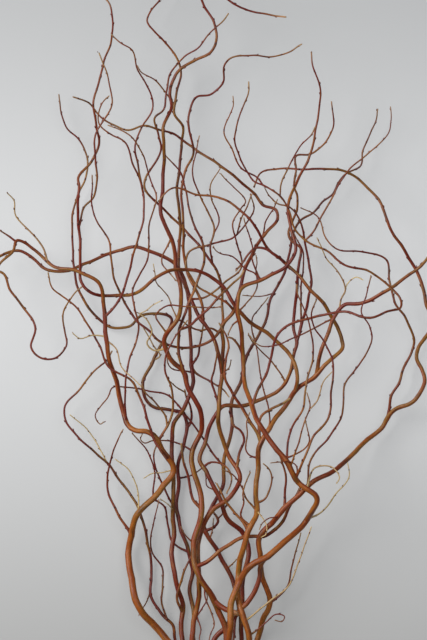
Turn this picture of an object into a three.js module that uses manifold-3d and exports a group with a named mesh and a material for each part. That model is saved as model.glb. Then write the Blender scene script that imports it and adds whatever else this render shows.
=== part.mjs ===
// A bunch of corkscrew willow: eleven cut stems lying on the floor as one bundle.
// Millimetres. X runs across the bunch, +Y along it from the cut ends to the tips, +Z up.
// The origin is the middle of the bounding box, on the floor.
import * as THREE from "three";
import Module from "manifold-3d";
import { mergeVertices } from "three/addons/utils/BufferGeometryUtils.js";

// Driving dimensions.
const FLAT_ALLOWANCE = 1.2; // corner radius of a faceted stem over the wood's real radius
const STEM_GAP = 0.6; // clear air between two stems where one rests on the other
const LONGEST_FACET = 27; // ring spacing along straight wood
const TURN_PER_RING = 0.62; // radians of bend that call for a new ring
const SPREAD = 30; // how far along a thin shoot a crossing lifts it
const STIFFNESS = 9; // added spread per millimetre of radius
const SOFTNESS = 1.2; // rounding where two lifts meet
const FORK_REACH = 30; // round a fork a shoot may touch its own stem
const CURL_LENGTH = 150; // length of one turn of the corkscrew
const TAPER = 1.35; // over 1 keeps the wood thick for longer before it thins to the tip
const SETTLE_ROUNDS = 14;

const golden = { color: 0x96541c, roughness: 0.42, metalness: 0 };
const amber = { color: 0x843c19, roughness: 0.42, metalness: 0 };
const russet = { color: 0x6e2a14, roughness: 0.45, metalness: 0 };
const maroon = { color: 0x602012, roughness: 0.48, metalness: 0 };

// The stems, lowest in the pile first. Every run is a route of [x, y] points from its thick end,
// with its radius there and at its tip, and how high its tip springs. A shoot's first point is
// moved onto the nearest wood that its stem already has.
const stems = [
  {
    name: "dark_stem",
    bark: maroon,
    runs: [
      { radius: [3.5, 1.1], rise: 22, route: [
        [-3, 22], [-9, 70], [-20, 130], [-32, 200], [-31, 235], [-37, 279], [-33, 308], [-41, 343],
        [-52, 375], [-58, 407], [-55, 438], [-55, 478], [-47, 502], [-42, 534], [-49, 555],
        [-68, 559], [-92, 563], [-108, 579], [-110, 604], [-95, 635], [-82, 662], [-70, 684],
        [-66, 702], [-84, 710], [-114, 706], [-132, 690], [-157, 688], [-176, 698], [-196, 720],
        [-212, 749], [-219, 787], [-221, 832], [-221, 864], [-212, 897], [-202, 918],
        [-197, 940], [-201, 965], [-213, 985], [-230, 1001], [-238, 1023], [-241, 1042], [-242, 1054],
      ] },
      { radius: [1.3, 0.9], rise: 20, route: [
        [-77, 628], [-84, 644], [-94, 660], [-104, 678], [-113, 694],
      ] },
      { radius: [2, 1.2], rise: 16, route: [
        [-44, 530], [-36, 540], [-34, 553], [-37, 567], [-43, 580], [-45, 592],
      ] },
      { radius: [1.3, 0.9], rise: 14, route: [
        [-54, 452], [-36, 456], [-23, 464], [-12, 474],
      ] },
      { radius: [1.7, 1], rise: 22, route: [
        [-40, 336], [-54, 343], [-66, 355], [-71, 375], [-77, 407], [-94, 423], [-92, 460], [-104, 495],
        [-128, 523],
      ] },
      { radius: [1.2, 0.9], rise: 20, route: [
        [-45, 586], [-57, 594], [-68, 604],
      ] },
      { radius: [1.7, 1.2], rise: 24, route: [
        [-57, 392], [-65, 412], [-76, 433], [-84, 452], [-92, 472], [-93, 492], [-88, 508],
      ] },
    ],
  },
  {
    name: "maroon_stem",
    bark: maroon,
    runs: [
      { radius: [3.9, 1], rise: 29, route: [
        [10, 8], [20, 70], [34, 140], [44, 205], [38, 262], [26, 300], [7, 336], [-10, 364],
        [-15, 380], [4, 418], [16, 446], [16, 482], [25, 510], [29, 540], [28, 572], [42, 600],
        [47, 626], [57, 654], [72, 678], [84, 706], [90, 735], [103, 757], [113, 780], [119, 805],
        [125, 836], [135, 855], [155, 867], [170, 884], [186, 897], [197, 917], [207, 929],
        [230, 941], [234, 965], [246, 993], [255, 1015], [257, 1031],
      ] },
      { radius: [2.4, 1.6], rise: 8, route: [
        [-12, 370], [-1, 375], [7, 384], [4, 394], [-4, 402],
      ] },
      { radius: [1.7, 0.9], rise: 29, route: [
        [16, 470], [4, 484], [-8, 502], [-22, 523], [-38, 544], [-57, 568], [-71, 582], [-97, 588],
        [-138, 595], [-158, 594], [-166, 578], [-185, 551], [-177, 537], [-171, 541],
      ] },
      { radius: [0.9, 0.8], rise: 20, route: [
        [93, 742], [80, 738], [66, 737], [52, 738], [45, 739],
      ] },
      { radius: [1.2, 0.8], rise: 26, route: [
        [66, 667], [61, 679], [60, 692], [62, 706], [72, 718], [86, 736],
      ] },
      { radius: [1.2, 0.8], rise: 22, route: [
        [6, 388], [15, 398], [21, 412], [29, 427],
      ] },
      { radius: [1, 0.8], rise: 16, route: [
        [-3, 358], [-1, 375], [0, 390],
      ] },
      { radius: [1, 0.9], rise: 12, route: [
        [25, 312], [33, 321], [37, 326],
      ] },
    ],
  },
  {
    name: "slender_stem",
    bark: maroon,
    runs: [
      { radius: [2.6, 1.3], rise: 43, route: [
        [-19, 26], [-27, 80], [-42, 140], [-61, 202], [-64, 222], [-82, 240], [-98, 268], [-97, 312],
        [-104, 355], [-113, 393], [-128, 424], [-146, 447], [-162, 471], [-180, 488], [-208, 513],
        [-230, 540], [-233, 564], [-208, 593], [-189, 618], [-168, 636], [-158, 652],
      ] },
      { radius: [1.6, 0.9], rise: 29, route: [
        [-74, 232], [-81, 256], [-80, 282], [-80, 310], [-97, 338], [-98, 360], [-92, 390], [-85, 420],
      ] },
      { radius: [1, 0.8], rise: 22, route: [
        [-165, 477], [-180, 502], [-197, 528], [-210, 540], [-225, 552],
      ] },
      { radius: [1.1, 0.8], rise: 19, route: [
        [-98, 276], [-104, 260], [-112, 247], [-117, 238],
      ] },
    ],
  },
  {
    name: "inner_stem",
    bark: russet,
    runs: [
      { radius: [4.1, 1.2], rise: 43, route: [
        [-13, 3], [-22, 70], [-36, 140], [-50, 205], [-49, 256], [-60, 295], [-65, 335], [-62, 372],
        [-64, 404], [-62, 440], [-65, 489], [-63, 534], [-48, 560], [-33, 596], [-35, 640],
        [-37, 695], [-39, 735], [-55, 785], [-53, 820], [-52, 855], [-57, 903], [-53, 940],
        [-50, 975], [-48, 1002], [-61, 1023], [-58, 1054], [-51, 1086], [-54, 1103], [-70, 1128],
        [-92, 1151], [-104, 1168], [-98, 1183], [-85, 1200], [-75, 1218], [-78, 1236],
      ] },
      { radius: [2.1, 1], rise: 24, route: [
        [-51, 242], [-57, 262], [-48, 300], [-38, 324], [-28, 344], [-24, 366],
      ] },
      { radius: [1.3, 0.9], rise: 29, route: [
        [-62, 1036], [-78, 1060], [-93, 1076], [-114, 1088], [-119, 1098],
      ] },
      { radius: [1.8, 1], rise: 26, route: [
        [-36, 624], [-26, 616], [-4, 603], [14, 592], [25, 579],
      ] },
      { radius: [1.8, 1], rise: 30, route: [
        [-36, 630], [-24, 645], [-21, 663], [-17, 685], [-14, 704],
      ] },
      { radius: [1.2, 0.9], rise: 24, route: [
        [-32, 618], [-45, 620], [-55, 621], [-65, 624], [-71, 631], [-73, 645],
      ] },
      { radius: [0.9, 0.7], rise: 20, route: [
        [-65, 465], [-80, 461], [-95, 460], [-110, 452],
      ] },
      { radius: [0.8, 0.7], rise: 16, route: [
        [-62, 403], [-72, 412], [-84, 421],
      ] },
    ],
  },
  {
    name: "red_stem",
    bark: russet,
    runs: [
      { radius: [4.4, 1.1], rise: 50, route: [
        [2, 14], [0, 80], [-4, 140], [2, 200], [23, 223], [41, 248], [47, 301], [56, 338],
        [46, 365], [20, 392], [8, 425], [-10, 459], [-21, 481], [-13, 510], [0, 546], [15, 565],
        [41, 565], [81, 578], [110, 597], [118, 613], [125, 641], [130, 664], [126, 685],
        [126, 710], [130, 738], [131, 761], [134, 790], [136, 813], [121, 825], [117, 836],
        [124, 855], [131, 876], [131, 895], [126, 908], [129, 933], [129, 956], [153, 960],
        [174, 977], [187, 1001], [187, 1020], [184, 1042],
      ] },
      { radius: [2.4, 1.1], rise: 36, route: [
        [130, 664], [136, 687], [143, 710], [150, 741], [153, 762], [148, 795], [142, 828],
        [135, 856], [118, 877], [101, 881], [92, 888],
      ] },
      { radius: [1.6, 0.9], rise: 29, route: [
        [136, 690], [137, 720], [137, 751], [141, 790], [139, 810], [128, 830], [121, 846],
      ] },
      { radius: [1.3, 0.9], rise: 30, route: [
        [112, 602], [105, 616], [90, 636], [72, 654], [60, 667], [54, 680],
      ] },
      { radius: [1.6, 1.2], rise: 12, route: [
        [-17, 469], [-6, 477], [8, 476], [22, 468], [28, 456], [26, 440], [20, 428],
      ] },
      { radius: [2.2, 1.6], rise: 8, route: [
        [34, 236], [33, 218], [31, 200], [29, 184],
      ] },
      { radius: [1, 0.7], rise: 22, route: [
        [-6, 428], [-10, 440], [-12, 455], [-17, 472],
      ] },
      { radius: [1, 0.8], rise: 22, route: [
        [95, 886], [86, 895], [80, 906],
      ] },
    ],
  },
  {
    name: "brown_stem",
    bark: amber,
    runs: [
      { radius: [4.4, 1.2], rise: 79, route: [
        [-8, 6], [-15, 80], [-26, 150], [-34, 200], [-26, 250], [-22, 287], [-25, 330], [-18, 375],
        [-2, 401], [28, 426], [42, 452], [25, 486], [10, 526], [8, 565], [13, 609], [15, 660],
        [14, 690], [30, 712], [38, 735], [49, 778], [66, 813], [82, 837], [100, 856], [97, 872],
        [78, 880], [63, 898], [34, 923], [11, 941], [-12, 956], [-39, 974], [-59, 989],
        [-84, 997], [-109, 1003], [-135, 996], [-154, 1004], [-173, 1014], [-194, 1038],
        [-206, 1044], [-220, 1048],
      ] },
      { radius: [3.1, 1.1], rise: 43, route: [
        [13, 616], [4, 662], [-10, 688], [-28, 715], [-42, 751], [-57, 785], [-79, 799],
        [-122, 814], [-148, 809], [-192, 792], [-230, 777], [-259, 778], [-281, 795],
        [-305, 809], [-333, 800], [-347, 793], [-345, 781], [-328, 772], [-317, 746],
        [-295, 717], [-278, 688], [-285, 658], [-268, 640], [-247, 641], [-230, 659],
        [-232, 682], [-235, 709], [-218, 740], [-204, 753],
      ] },
      { radius: [2.3, 1.1], rise: 65, route: [
        [-17, 698], [-18, 726], [-38, 767], [-46, 800], [-47, 852], [-50, 903], [-43, 935],
        [-31, 962], [-38, 996], [-38, 1023], [-26, 1048], [-4, 1052], [15, 1071], [17, 1097],
        [27, 1108], [61, 1112], [90, 1110], [115, 1116], [138, 1130],
      ] },
      { radius: [2.1, 1.1], rise: 58, route: [
        [14, 690], [14, 719], [10, 765], [-15, 807], [-49, 845], [-87, 882], [-107, 904],
        [-105, 924], [-86, 954], [-82, 970], [-86, 990], [-92, 1014], [-78, 1028], [-73, 1058],
        [-67, 1085], [-45, 1111], [-22, 1126], [-8, 1145], [14, 1165], [24, 1178],
      ] },
      { radius: [1.7, 1], rise: 43, route: [
        [-44, 791], [-38, 807], [-6, 818], [31, 829], [51, 851], [63, 872], [58, 895],
      ] },
      { radius: [1.6, 0.9], rise: 48, route: [
        [-2, 788], [-5, 812], [1, 845], [-10, 871], [-25, 903], [-33, 930], [-28, 958], [-22, 988],
      ] },
      { radius: [1.2, 0.8], rise: 36, route: [
        [1, 834], [9, 856], [-3, 889], [-5, 909], [11, 937],
      ] },
      { radius: [1.6, 0.9], rise: 43, route: [
        [-34, 733], [-12, 736], [18, 759], [44, 783], [38, 815], [30, 850], [42, 873],
        [50, 885], [31, 908], [19, 919], [11, 929],
      ] },
      { radius: [2.2, 1], rise: 50, route: [
        [14, 688], [2, 673], [-18, 661], [-36, 657], [-65, 659], [-83, 666], [-102, 684],
        [-122, 701], [-144, 738], [-156, 768], [-160, 800], [-164, 826], [-181, 852],
        [-190, 880], [-189, 906], [-189, 926],
      ] },
      { radius: [1.8, 1.2], rise: 20, route: [
        [8, 567], [1, 590], [-3, 606], [2, 626], [5, 650], [1, 668],
      ] },
      { radius: [2.2, 1.6], rise: 14, route: [
        [36, 467], [40, 490], [48, 512], [42, 527], [31, 536], [27, 548],
      ] },
      { radius: [1.1, 0.8], rise: 14, route: [
        [15, 617], [24, 625], [28, 638],
      ] },
      { radius: [1.1, 0.8], rise: 12, route: [
        [-28, 240], [-20, 216], [-22, 200], [-17, 186],
      ] },
      { radius: [1.9, 1.3], rise: 26, route: [
        [33, 715], [20, 727], [5, 736], [-12, 744], [-25, 753], [-35, 767], [-43, 783], [-43, 793],
      ] },
      { radius: [1.2, 0.8], rise: 26, route: [
        [76, 830], [79, 842], [81, 852], [87, 864], [95, 876], [100, 889],
      ] },
      { radius: [1.3, 1], rise: 26, route: [
        [36, 834], [40, 848], [45, 862], [51, 874], [56, 886], [60, 897],
      ] },
      { radius: [1.6, 1.2], rise: 24, route: [
        [5, 683], [-5, 687], [-18, 684], [-30, 686], [-40, 691], [-48, 698], [-58, 702],
      ] },
      { radius: [1.2, 0.9], rise: 16, route: [
        [-25, 236], [-17, 250], [-10, 262], [-12, 278],
      ] },
    ],
  },
  {
    name: "orange_stem",
    bark: amber,
    runs: [
      { radius: [4.9, 1.3], rise: 86, route: [
        [14, 2], [19, 80], [21, 150], [19, 212], [2, 259], [-15, 287], [-31, 324], [-30, 355],
        [-22, 385], [-18, 418], [-31, 462], [-33, 497], [-18, 528], [-20, 554], [-41, 598],
        [-48, 620], [-69, 642], [-77, 668], [-56, 703], [-50, 735], [-58, 778], [-64, 823],
        [-82, 864], [-80, 900], [-78, 935], [-77, 973], [-79, 1000], [-66, 1030], [-68, 1055],
        [-58, 1085], [-31, 1105], [-5, 1117], [5, 1142], [0, 1166], [-16, 1194], [-21, 1213],
        [-5, 1223], [22, 1200], [48, 1185], [78, 1178], [114, 1172],
      ] },
      { radius: [2.5, 1.1], rise: 50, route: [
        [-44, 612], [-54, 648], [-54, 680], [-44, 712], [-30, 748], [-15, 791], [-16, 816],
        [-34, 858], [-44, 905], [-52, 931], [-76, 957],
      ] },
      { radius: [3.3, 2.1], rise: 30, route: [
        [-20, 317], [-7, 325], [17, 344], [40, 358], [62, 362], [80, 363], [98, 374],
        [109, 388], [119, 409], [130, 428], [138, 444],
      ] },
      { radius: [2.3, 1.6], rise: 26, route: [
        [-20, 405], [-31, 417], [-36, 436], [-41, 460], [-48, 484], [-50, 508],
      ] },
      { radius: [1.3, 0.9], rise: 20, route: [
        [-34, 495], [-58, 508], [-76, 511], [-96, 511], [-107, 507], [-114, 513], [-111, 523],
      ] },
      { radius: [4.3, 3.9], rise: 16, route: [
        [0, 262], [8, 255], [18, 249], [32, 243], [44, 238],
      ] },
      { radius: [1.2, 0.8], rise: 10, route: [
        [-13, 284], [-13, 266], [-3, 242], [1, 223], [-5, 208], [-9, 190],
      ] },
      { radius: [1.4, 0.9], rise: 32, route: [
        [-76, 655], [-92, 652], [-104, 664], [-96, 682], [-104, 700], [-118, 712],
      ] },
      { radius: [1.4, 0.9], rise: 22, route: [
        [-64, 828], [-72, 815], [-80, 800], [-80, 788], [-72, 777], [-63, 767], [-57, 760],
      ] },
      { radius: [1.1, 0.7], rise: 26, route: [
        [-64, 704], [-64, 718], [-70, 735], [-80, 748], [-90, 760], [-91, 772], [-94, 788],
      ] },
      { radius: [1.4, 0.9], rise: 26, route: [
        [-75, 680], [-84, 694], [-90, 707], [-82, 717], [-68, 723], [-45, 721], [-20, 720], [0, 719],
        [14, 722],
      ] },
      { radius: [0.9, 0.7], rise: 18, route: [
        [-118, 706], [-105, 715], [-96, 722], [-82, 730],
      ] },
      { radius: [2.1, 1.4], rise: 28, route: [
        [-48, 684], [-36, 692], [-24, 703], [-12, 714], [0, 726], [12, 740], [26, 753], [42, 768],
        [48, 778],
      ] },
      { radius: [1.1, 0.8], rise: 16, route: [
        [-36, 350], [-44, 364], [-51, 378],
      ] },
    ],
  },
  {
    name: "right_stem",
    bark: golden,
    runs: [
      { radius: [4.8, 1.3], rise: 79, route: [
        [28, 6], [38, 80], [52, 140], [69, 200], [77, 229], [86, 246], [88, 261], [84, 276],
        [77, 298], [73, 324], [73, 362],
        [95, 388], [123, 418], [158, 449], [196, 470], [228, 501], [262, 530], [272, 545],
        [281, 557], [291, 564], [305, 568], [316, 575], [324, 587], [330, 606], [326, 624],
        [318, 640], [320, 656], [335, 677], [345, 702], [333, 723], [326, 757], [303, 802],
        [275, 845], [261, 883], [231, 916], [209, 931], [176, 936], [146, 935], [100, 936],
        [73, 929], [63, 906],
      ] },
      { radius: [2.2, 0.9], rise: 58, route: [
        [272, 545], [275, 562], [279, 582], [291, 603], [299, 628], [310, 648], [314, 668],
        [300, 704], [285, 725],
        [275, 765], [271, 794], [237, 806], [192, 811], [174, 831], [164, 860], [137, 875],
      ] },
      { radius: [1.7, 1], rise: 48, route: [
        [146, 440], [152, 483], [179, 516], [200, 552], [205, 600], [228, 632], [246, 667],
        [243, 690], [230, 712], [238, 740], [245, 770],
      ] },
      { radius: [2, 1.2], rise: 26, route: [
        [110, 406], [111, 426], [113, 450], [110, 469], [104, 486], [97, 500],
      ] },
      { radius: [1.6, 0.9], rise: 24, route: [
        [88, 256], [114, 280], [124, 320], [137, 368],
      ] },
      { radius: [1.1, 0.8], rise: 20, route: [
        [108, 400], [98, 393], [86, 391], [76, 383], [71, 373],
      ] },
    ],
  },
  {
    name: "forked_stem",
    bark: golden,
    runs: [
      { radius: [5.2, 1.2], rise: 94, route: [
        [20, 18], [30, 80], [46, 140], [57, 200], [42, 248], [38, 298], [46, 341], [53, 368],
        [67, 394], [66, 423], [69, 460], [72, 500], [89, 534], [111, 563], [127, 588], [157, 611],
        [185, 640], [202, 656], [201, 670], [188, 699], [173, 724], [150, 749], [125, 778],
        [108, 792], [82, 815], [66, 845], [42, 871], [12, 890], [-28, 896], [-63, 906],
        [-87, 884],
      ] },
      { radius: [3.1, 1.3], rise: 79, route: [
        [127, 588], [131, 610], [127, 633], [106, 660], [87, 677], [60, 695], [38, 716],
        [17, 749], [-10, 771], [-55, 779], [-89, 767], [-116, 744], [-148, 738], [-192, 743],
        [-206, 760], [-208, 815], [-212, 871], [-210, 908], [-211, 922], [-192, 946], [-179, 973],
        [-182, 1000], [-187, 1040], [-178, 1073], [-170, 1106], [-160, 1132], [-157, 1165],
        [-161, 1190], [-168, 1200],
      ] },
      { radius: [1.7, 1], rise: 40, route: [
        [-209, 845], [-202, 876], [-187, 893], [-182, 920], [-185, 960], [-184, 990], [-170, 1013],
        [-158, 1036], [-161, 1060], [-166, 1084], [-174, 1105], [-179, 1117],
      ] },
      { radius: [3.2, 2.3], rise: 50, route: [
        [161, 614], [165, 640], [176, 672], [187, 700], [204, 724], [227, 725], [266, 743],
        [296, 764], [316, 778], [333, 795], [341, 806],
      ] },
      { radius: [2.7, 1.3], rise: 26, route: [
        [74, 508], [67, 525], [45, 561], [31, 584], [19, 606], [19, 638], [24, 658], [19, 677],
        [8, 696],
      ] },
      { radius: [2.2, 1.9], rise: 6, route: [
        [74, 514], [71, 534], [76, 551], [90, 561], [108, 569], [120, 578],
      ] },
      { radius: [2.4, 1.3], rise: 16, route: [
        [112, 790], [97, 801], [82, 811], [66, 812], [53, 801], [43, 786], [34, 776],
      ] },
      { radius: [1.3, 0.9], rise: 24, route: [
        [86, 530], [88, 546], [86, 563], [81, 581], [76, 601], [71, 630], [67, 658], [57, 676],
      ] },
      { radius: [1.3, 0.9], rise: 24, route: [
        [185, 701], [164, 691], [150, 683], [125, 672], [100, 661], [76, 659], [60, 668],
      ] },
      { radius: [1.6, 1], rise: 16, route: [
        [69, 414], [80, 420], [87, 432], [91, 453], [87, 467], [77, 476],
      ] },
      { radius: [2.2, 1.3], rise: 16, route: [
        [53, 371], [44, 387], [31, 402], [20, 415], [13, 430], [4, 446],
      ] },
      { radius: [1.5, 1], rise: 20, route: [
        [56, 378], [43, 394], [47, 414], [46, 428], [50, 446], [58, 463],
      ] },
      { radius: [1.3, 0.9], rise: 18, route: [
        [70, 484], [58, 487], [51, 496], [53, 524], [52, 542], [57, 556],
      ] },
      { radius: [1.3, 0.8], rise: 32, route: [
        [197, 716], [199, 732], [206, 746], [196, 773], [177, 795], [166, 819], [161, 829],
      ] },
      { radius: [1, 0.8], rise: 17, route: [
        [205, 740], [209, 756], [223, 767], [234, 762],
      ] },
      { radius: [1.4, 0.9], rise: 24, route: [
        [53, 232], [60, 238], [84, 258], [118, 286], [129, 312], [141, 345], [153, 378],
      ] },
      { radius: [3.9, 3.4], rise: 14, route: [
        [48, 250], [58, 266], [67, 280], [72, 300], [72, 314], [80, 326], [90, 335],
      ] },
      { radius: [1.3, 0.9], rise: 12, route: [
        [56, 207], [76, 222], [97, 240], [111, 237], [107, 229], [95, 232],
      ] },
      { radius: [1.5, 0.9], rise: 29, route: [
        [66, 402], [52, 420], [44, 439], [32, 457], [12, 468],
      ] },
      { radius: [1.2, 0.9], rise: 24, route: [
        [41, 715], [51, 726], [61, 737], [68, 752], [68, 765], [66, 778], [68, 790], [66, 802],
      ] },
      { radius: [0.9, 0.7], rise: 18, route: [
        [68, 402], [76, 392], [83, 378], [82, 366], [74, 361],
      ] },
    ],
  },
  {
    name: "bowed_stem",
    bark: golden,
    runs: [
      { radius: [5.6, 1.1], rise: 101, route: [
        [3, -6], [14, 80], [20, 150], [25, 215], [30, 264], [50, 308], [84, 332], [118, 359],
        [149, 393], [161, 421], [133, 447], [109, 486], [78, 526], [57, 574], [47, 614],
        [46, 652], [42, 690], [37, 722], [43, 748], [84, 767], [113, 784], [128, 806],
        [122, 840], [116, 870], [121, 895], [134, 923], [151, 958], [159, 995], [166, 1040],
        [166, 1064], [155, 1094], [152, 1118],
      ] },
      { radius: [2.1, 1.1], rise: 58, route: [
        [61, 566], [66, 584], [84, 620], [90, 642], [95, 666], [110, 688], [136, 699], [168, 707],
        [203, 713], [243, 703], [269, 713], [291, 719], [290, 735], [271, 755], [242, 776],
        [203, 786], [179, 806], [143, 824], [125, 845], [117, 872], [101, 895], [78, 909],
        [62, 917], [39, 958], [33, 981], [41, 1019], [54, 1052], [55, 1071],
      ] },
      { radius: [1.4, 0.8], rise: 43, route: [
        [78, 909], [66, 923], [43, 936], [28, 967], [16, 992], [25, 1018], [31, 1034], [30, 1048],
      ] },
      { radius: [1.6, 0.8], rise: 43, route: [
        [143, 824], [158, 841], [168, 862], [181, 883], [194, 909], [212, 935], [243, 961],
        [271, 989], [276, 1011], [275, 1032],
      ] },
      { radius: [1.3, 1], rise: 32, route: [
        [103, 892], [105, 911], [121, 946], [134, 969], [152, 988], [158, 1000],
      ] },
      { radius: [1.4, 0.9], rise: 26, route: [
        [112, 486], [127, 491], [142, 500], [149, 513], [146, 530], [142, 544],
      ] },
      { radius: [1.9, 1.1], rise: 43, route: [
        [128, 455], [141, 484], [155, 518], [179, 548], [183, 588], [186, 632], [174, 663],
        [157, 688], [152, 708], [160, 733],
      ] },
      { radius: [1.8, 0.9], rise: 43, route: [
        [113, 480], [120, 528], [139, 562], [144, 600], [155, 645], [152, 678], [145, 706],
        [131, 740], [129, 756],
      ] },
      { radius: [1.4, 0.9], rise: 32, route: [
        [119, 470], [131, 505], [142, 544], [150, 565], [145, 588],
      ] },
      { radius: [1.2, 0.8], rise: 29, route: [
        [150, 560], [162, 576], [170, 603], [184, 620],
      ] },
      { radius: [1.4, 0.8], rise: 36, route: [
        [146, 389], [170, 401], [192, 430], [211, 454], [209, 478],
      ] },
      { radius: [1.4, 0.9], rise: 32, route: [
        [147, 440], [158, 470], [184, 471], [196, 456], [191, 445],
      ] },
      { radius: [1.3, 0.9], rise: 26, route: [
        [74, 762], [64, 773], [52, 779], [44, 785], [36, 794], [28, 800], [12, 803], [4, 808],
        [-1, 816],
      ] },
      { radius: [1.3, 0.9], rise: 28, route: [
        [72, 765], [64, 783], [60, 798], [61, 812], [57, 828], [51, 845], [47, 860],
      ] },
      { radius: [2, 1.6], rise: 20, route: [
        [46, 640], [43, 651], [38, 662], [30, 671], [22, 673],
      ] },
      { radius: [1.2, 0.9], rise: 18, route: [
        [40, 700], [31, 693], [25, 683], [22, 677],
      ] },
      { radius: [1.1, 0.8], rise: 20, route: [
        [130, 462], [128, 474], [118, 480], [104, 479], [88, 478],
      ] },
    ],
  },
  {
    name: "left_stem",
    bark: golden,
    runs: [
      { radius: [6, 1.8], rise: 94, route: [
        [-25, 10], [-30, 80], [-42, 150], [-73, 200], [-112, 243], [-130, 300], [-131, 355],
        [-118, 396], [-82, 435], [-63, 464], [-79, 496], [-91, 516], [-104, 525], [-122, 528],
        [-136, 539], [-143, 562], [-150, 596], [-165, 650], [-170, 705], [-178, 756], [-215, 777],
        [-250, 784], [-282, 812], [-307, 824], [-313, 806], [-333, 788], [-343, 768],
      ] },
      { radius: [1.7, 1], rise: 14, route: [
        [-309, 823], [-320, 831], [-336, 842],
      ] },
      { radius: [2, 1], rise: 43, route: [
        [-131, 365], [-151, 399], [-166, 437], [-162, 476], [-152, 507], [-141, 530],
      ] },
      { radius: [2.1, 1.1], rise: 50, route: [
        [-72, 482], [-92, 512], [-111, 569], [-129, 606], [-163, 626], [-178, 660], [-197, 694],
        [-216, 722], [-252, 751], [-258, 775],
      ] },
      { radius: [1.1, 0.8], rise: 29, route: [
        [-122, 398], [-118, 430], [-132, 465], [-154, 483],
      ] },
      { radius: [1.9, 1], rise: 65, route: [
        [-168, 705], [-149, 728], [-136, 760], [-124, 806], [-109, 860], [-112, 910],
        [-126, 944], [-137, 976], [-158, 988], [-178, 1005], [-175, 1034], [-162, 1049],
      ] },
      { radius: [1.6, 1], rise: 58, route: [
        [-111, 898], [-117, 938], [-122, 972], [-110, 1003], [-95, 1028], [-98, 1053],
        [-119, 1092], [-126, 1119], [-144, 1130], [-159, 1144],
      ] },
      { radius: [1.6, 1], rise: 58, route: [
        [-138, 540], [-138, 590], [-133, 632], [-117, 684], [-126, 745], [-103, 796],
        [-100, 850], [-89, 890], [-100, 923], [-109, 955], [-130, 987], [-165, 1004],
      ] },
      { radius: [1.9, 1.1], rise: 40, route: [
        [-88, 510], [-80, 522], [-69, 540], [-63, 570], [-67, 598], [-76, 622], [-73, 648],
        [-57, 678], [-40, 700],
      ] },
      { radius: [1.6, 1], rise: 30, route: [
        [-72, 534], [-76, 551], [-90, 570], [-107, 588], [-112, 601],
      ] },
      { radius: [1.1, 0.8], rise: 22, route: [
        [-169, 674], [-190, 676], [-208, 671], [-220, 680],
      ] },
      { radius: [1.1, 0.8], rise: 26, route: [
        [-167, 669], [-152, 655], [-143, 626], [-124, 608], [-112, 595],
      ] },
      { radius: [1.5, 0.9], rise: 32, route: [
        [-262, 788], [-267, 815], [-286, 838], [-308, 862], [-311, 886], [-322, 899],
      ] },
    ],
  },
];

const wasm = await Module();
wasm.setup();

const mix = (a, b, t) => a + (b - a) * t;

// The point of the runs' straight pieces nearest to (x, y) in plan, with its height and run.
function nearestWood(runs, x, y) {
  let best = { distance: Infinity };
  for (const run of runs) {
    for (let i = 0; i + 1 < run.rings.length; i++) {
      const [a, b] = [run.rings[i], run.rings[i + 1]];
      const [ux, uy] = [b.x - a.x, b.y - a.y];
      const along = ((x - a.x) * ux + (y - a.y) * uy) / (ux * ux + uy * uy);
      const t = Math.min(1, Math.max(0, along));
      const at = { x: mix(a.x, b.x, t), y: mix(a.y, b.y, t), z: mix(a.z, b.z, t) };
      const distance = Math.hypot(x - at.x, y - at.y);
      if (distance < best.distance) best = { ...at, distance };
    }
  }
  return best;
}

// Rings along the smooth route: closer together the more the wood bends.
function ringsOf(route, [thick, thin]) {
  const line = new THREE.CatmullRomCurve3(route.map(([x, y]) => new THREE.Vector3(x, y, 0)));
  const steps = Math.ceil(line.getLength() / 2);
  line.arcLengthDivisions = steps * 4;
  line.updateArcLengths();
  const fine = line.getSpacedPoints(steps);
  const length = line.getLength();
  const cost = [0];
  for (let i = 1; i <= steps; i++) {
    const back = fine[i].clone().sub(fine[i - 1]);
    const ahead = fine[Math.min(i + 1, steps)].clone().sub(fine[Math.min(i, steps - 1)]);
    const turn = back.angleTo(ahead);
    cost.push(cost[i - 1] + back.length() / LONGEST_FACET + turn / TURN_PER_RING);
  }
  const count = Math.max(2, Math.ceil(cost[steps]));
  const rings = [];
  for (let k = 0, i = 0; k <= count; k++) {
    const wanted = (cost[steps] * k) / count;
    while (i < steps - 1 && cost[i + 1] < wanted) i++;
    const t = Math.min(1, Math.max(0, (wanted - cost[i]) / (cost[i + 1] - cost[i])));
    const s = ((i + t) * length) / steps;
    rings.push({
      x: mix(fine[i].x, fine[i + 1].x, t),
      y: mix(fine[i].y, fine[i + 1].y, t),
      z: 0,
      s,
      radius: mix(thick, thin, Math.pow(s / length, TAPER)),
    });
  }
  return rings;
}

// How near two straight pieces a-b and c-d come in space, and where.
function approach(a, b, c, d) {
  const u = [b.x - a.x, b.y - a.y, b.z - a.z];
  const v = [d.x - c.x, d.y - c.y, d.z - c.z];
  const w = [a.x - c.x, a.y - c.y, a.z - c.z];
  const dot = (p, q) => p[0] * q[0] + p[1] * q[1] + p[2] * q[2];
  const [uu, uv, vv, uw, vw] = [dot(u, u), dot(u, v), dot(v, v), dot(u, w), dot(v, w)];
  const clamp = (t) => Math.min(1, Math.max(0, t));
  const flat = uu * vv - uv * uv;
  let s = flat > 1e-9 * uu * vv ? clamp((uv * vw - vv * uw) / flat) : 0;
  const t = clamp((uv * s + vw) / vv);
  s = clamp((uv * t - uw) / uu);
  const gap = [0, 1, 2].map((k) => w[k] + u[k] * s - v[k] * t);
  return { distance: Math.sqrt(dot(gap, gap)), flat: Math.hypot(gap[0], gap[1]), drop: gap[2] };
}

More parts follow.
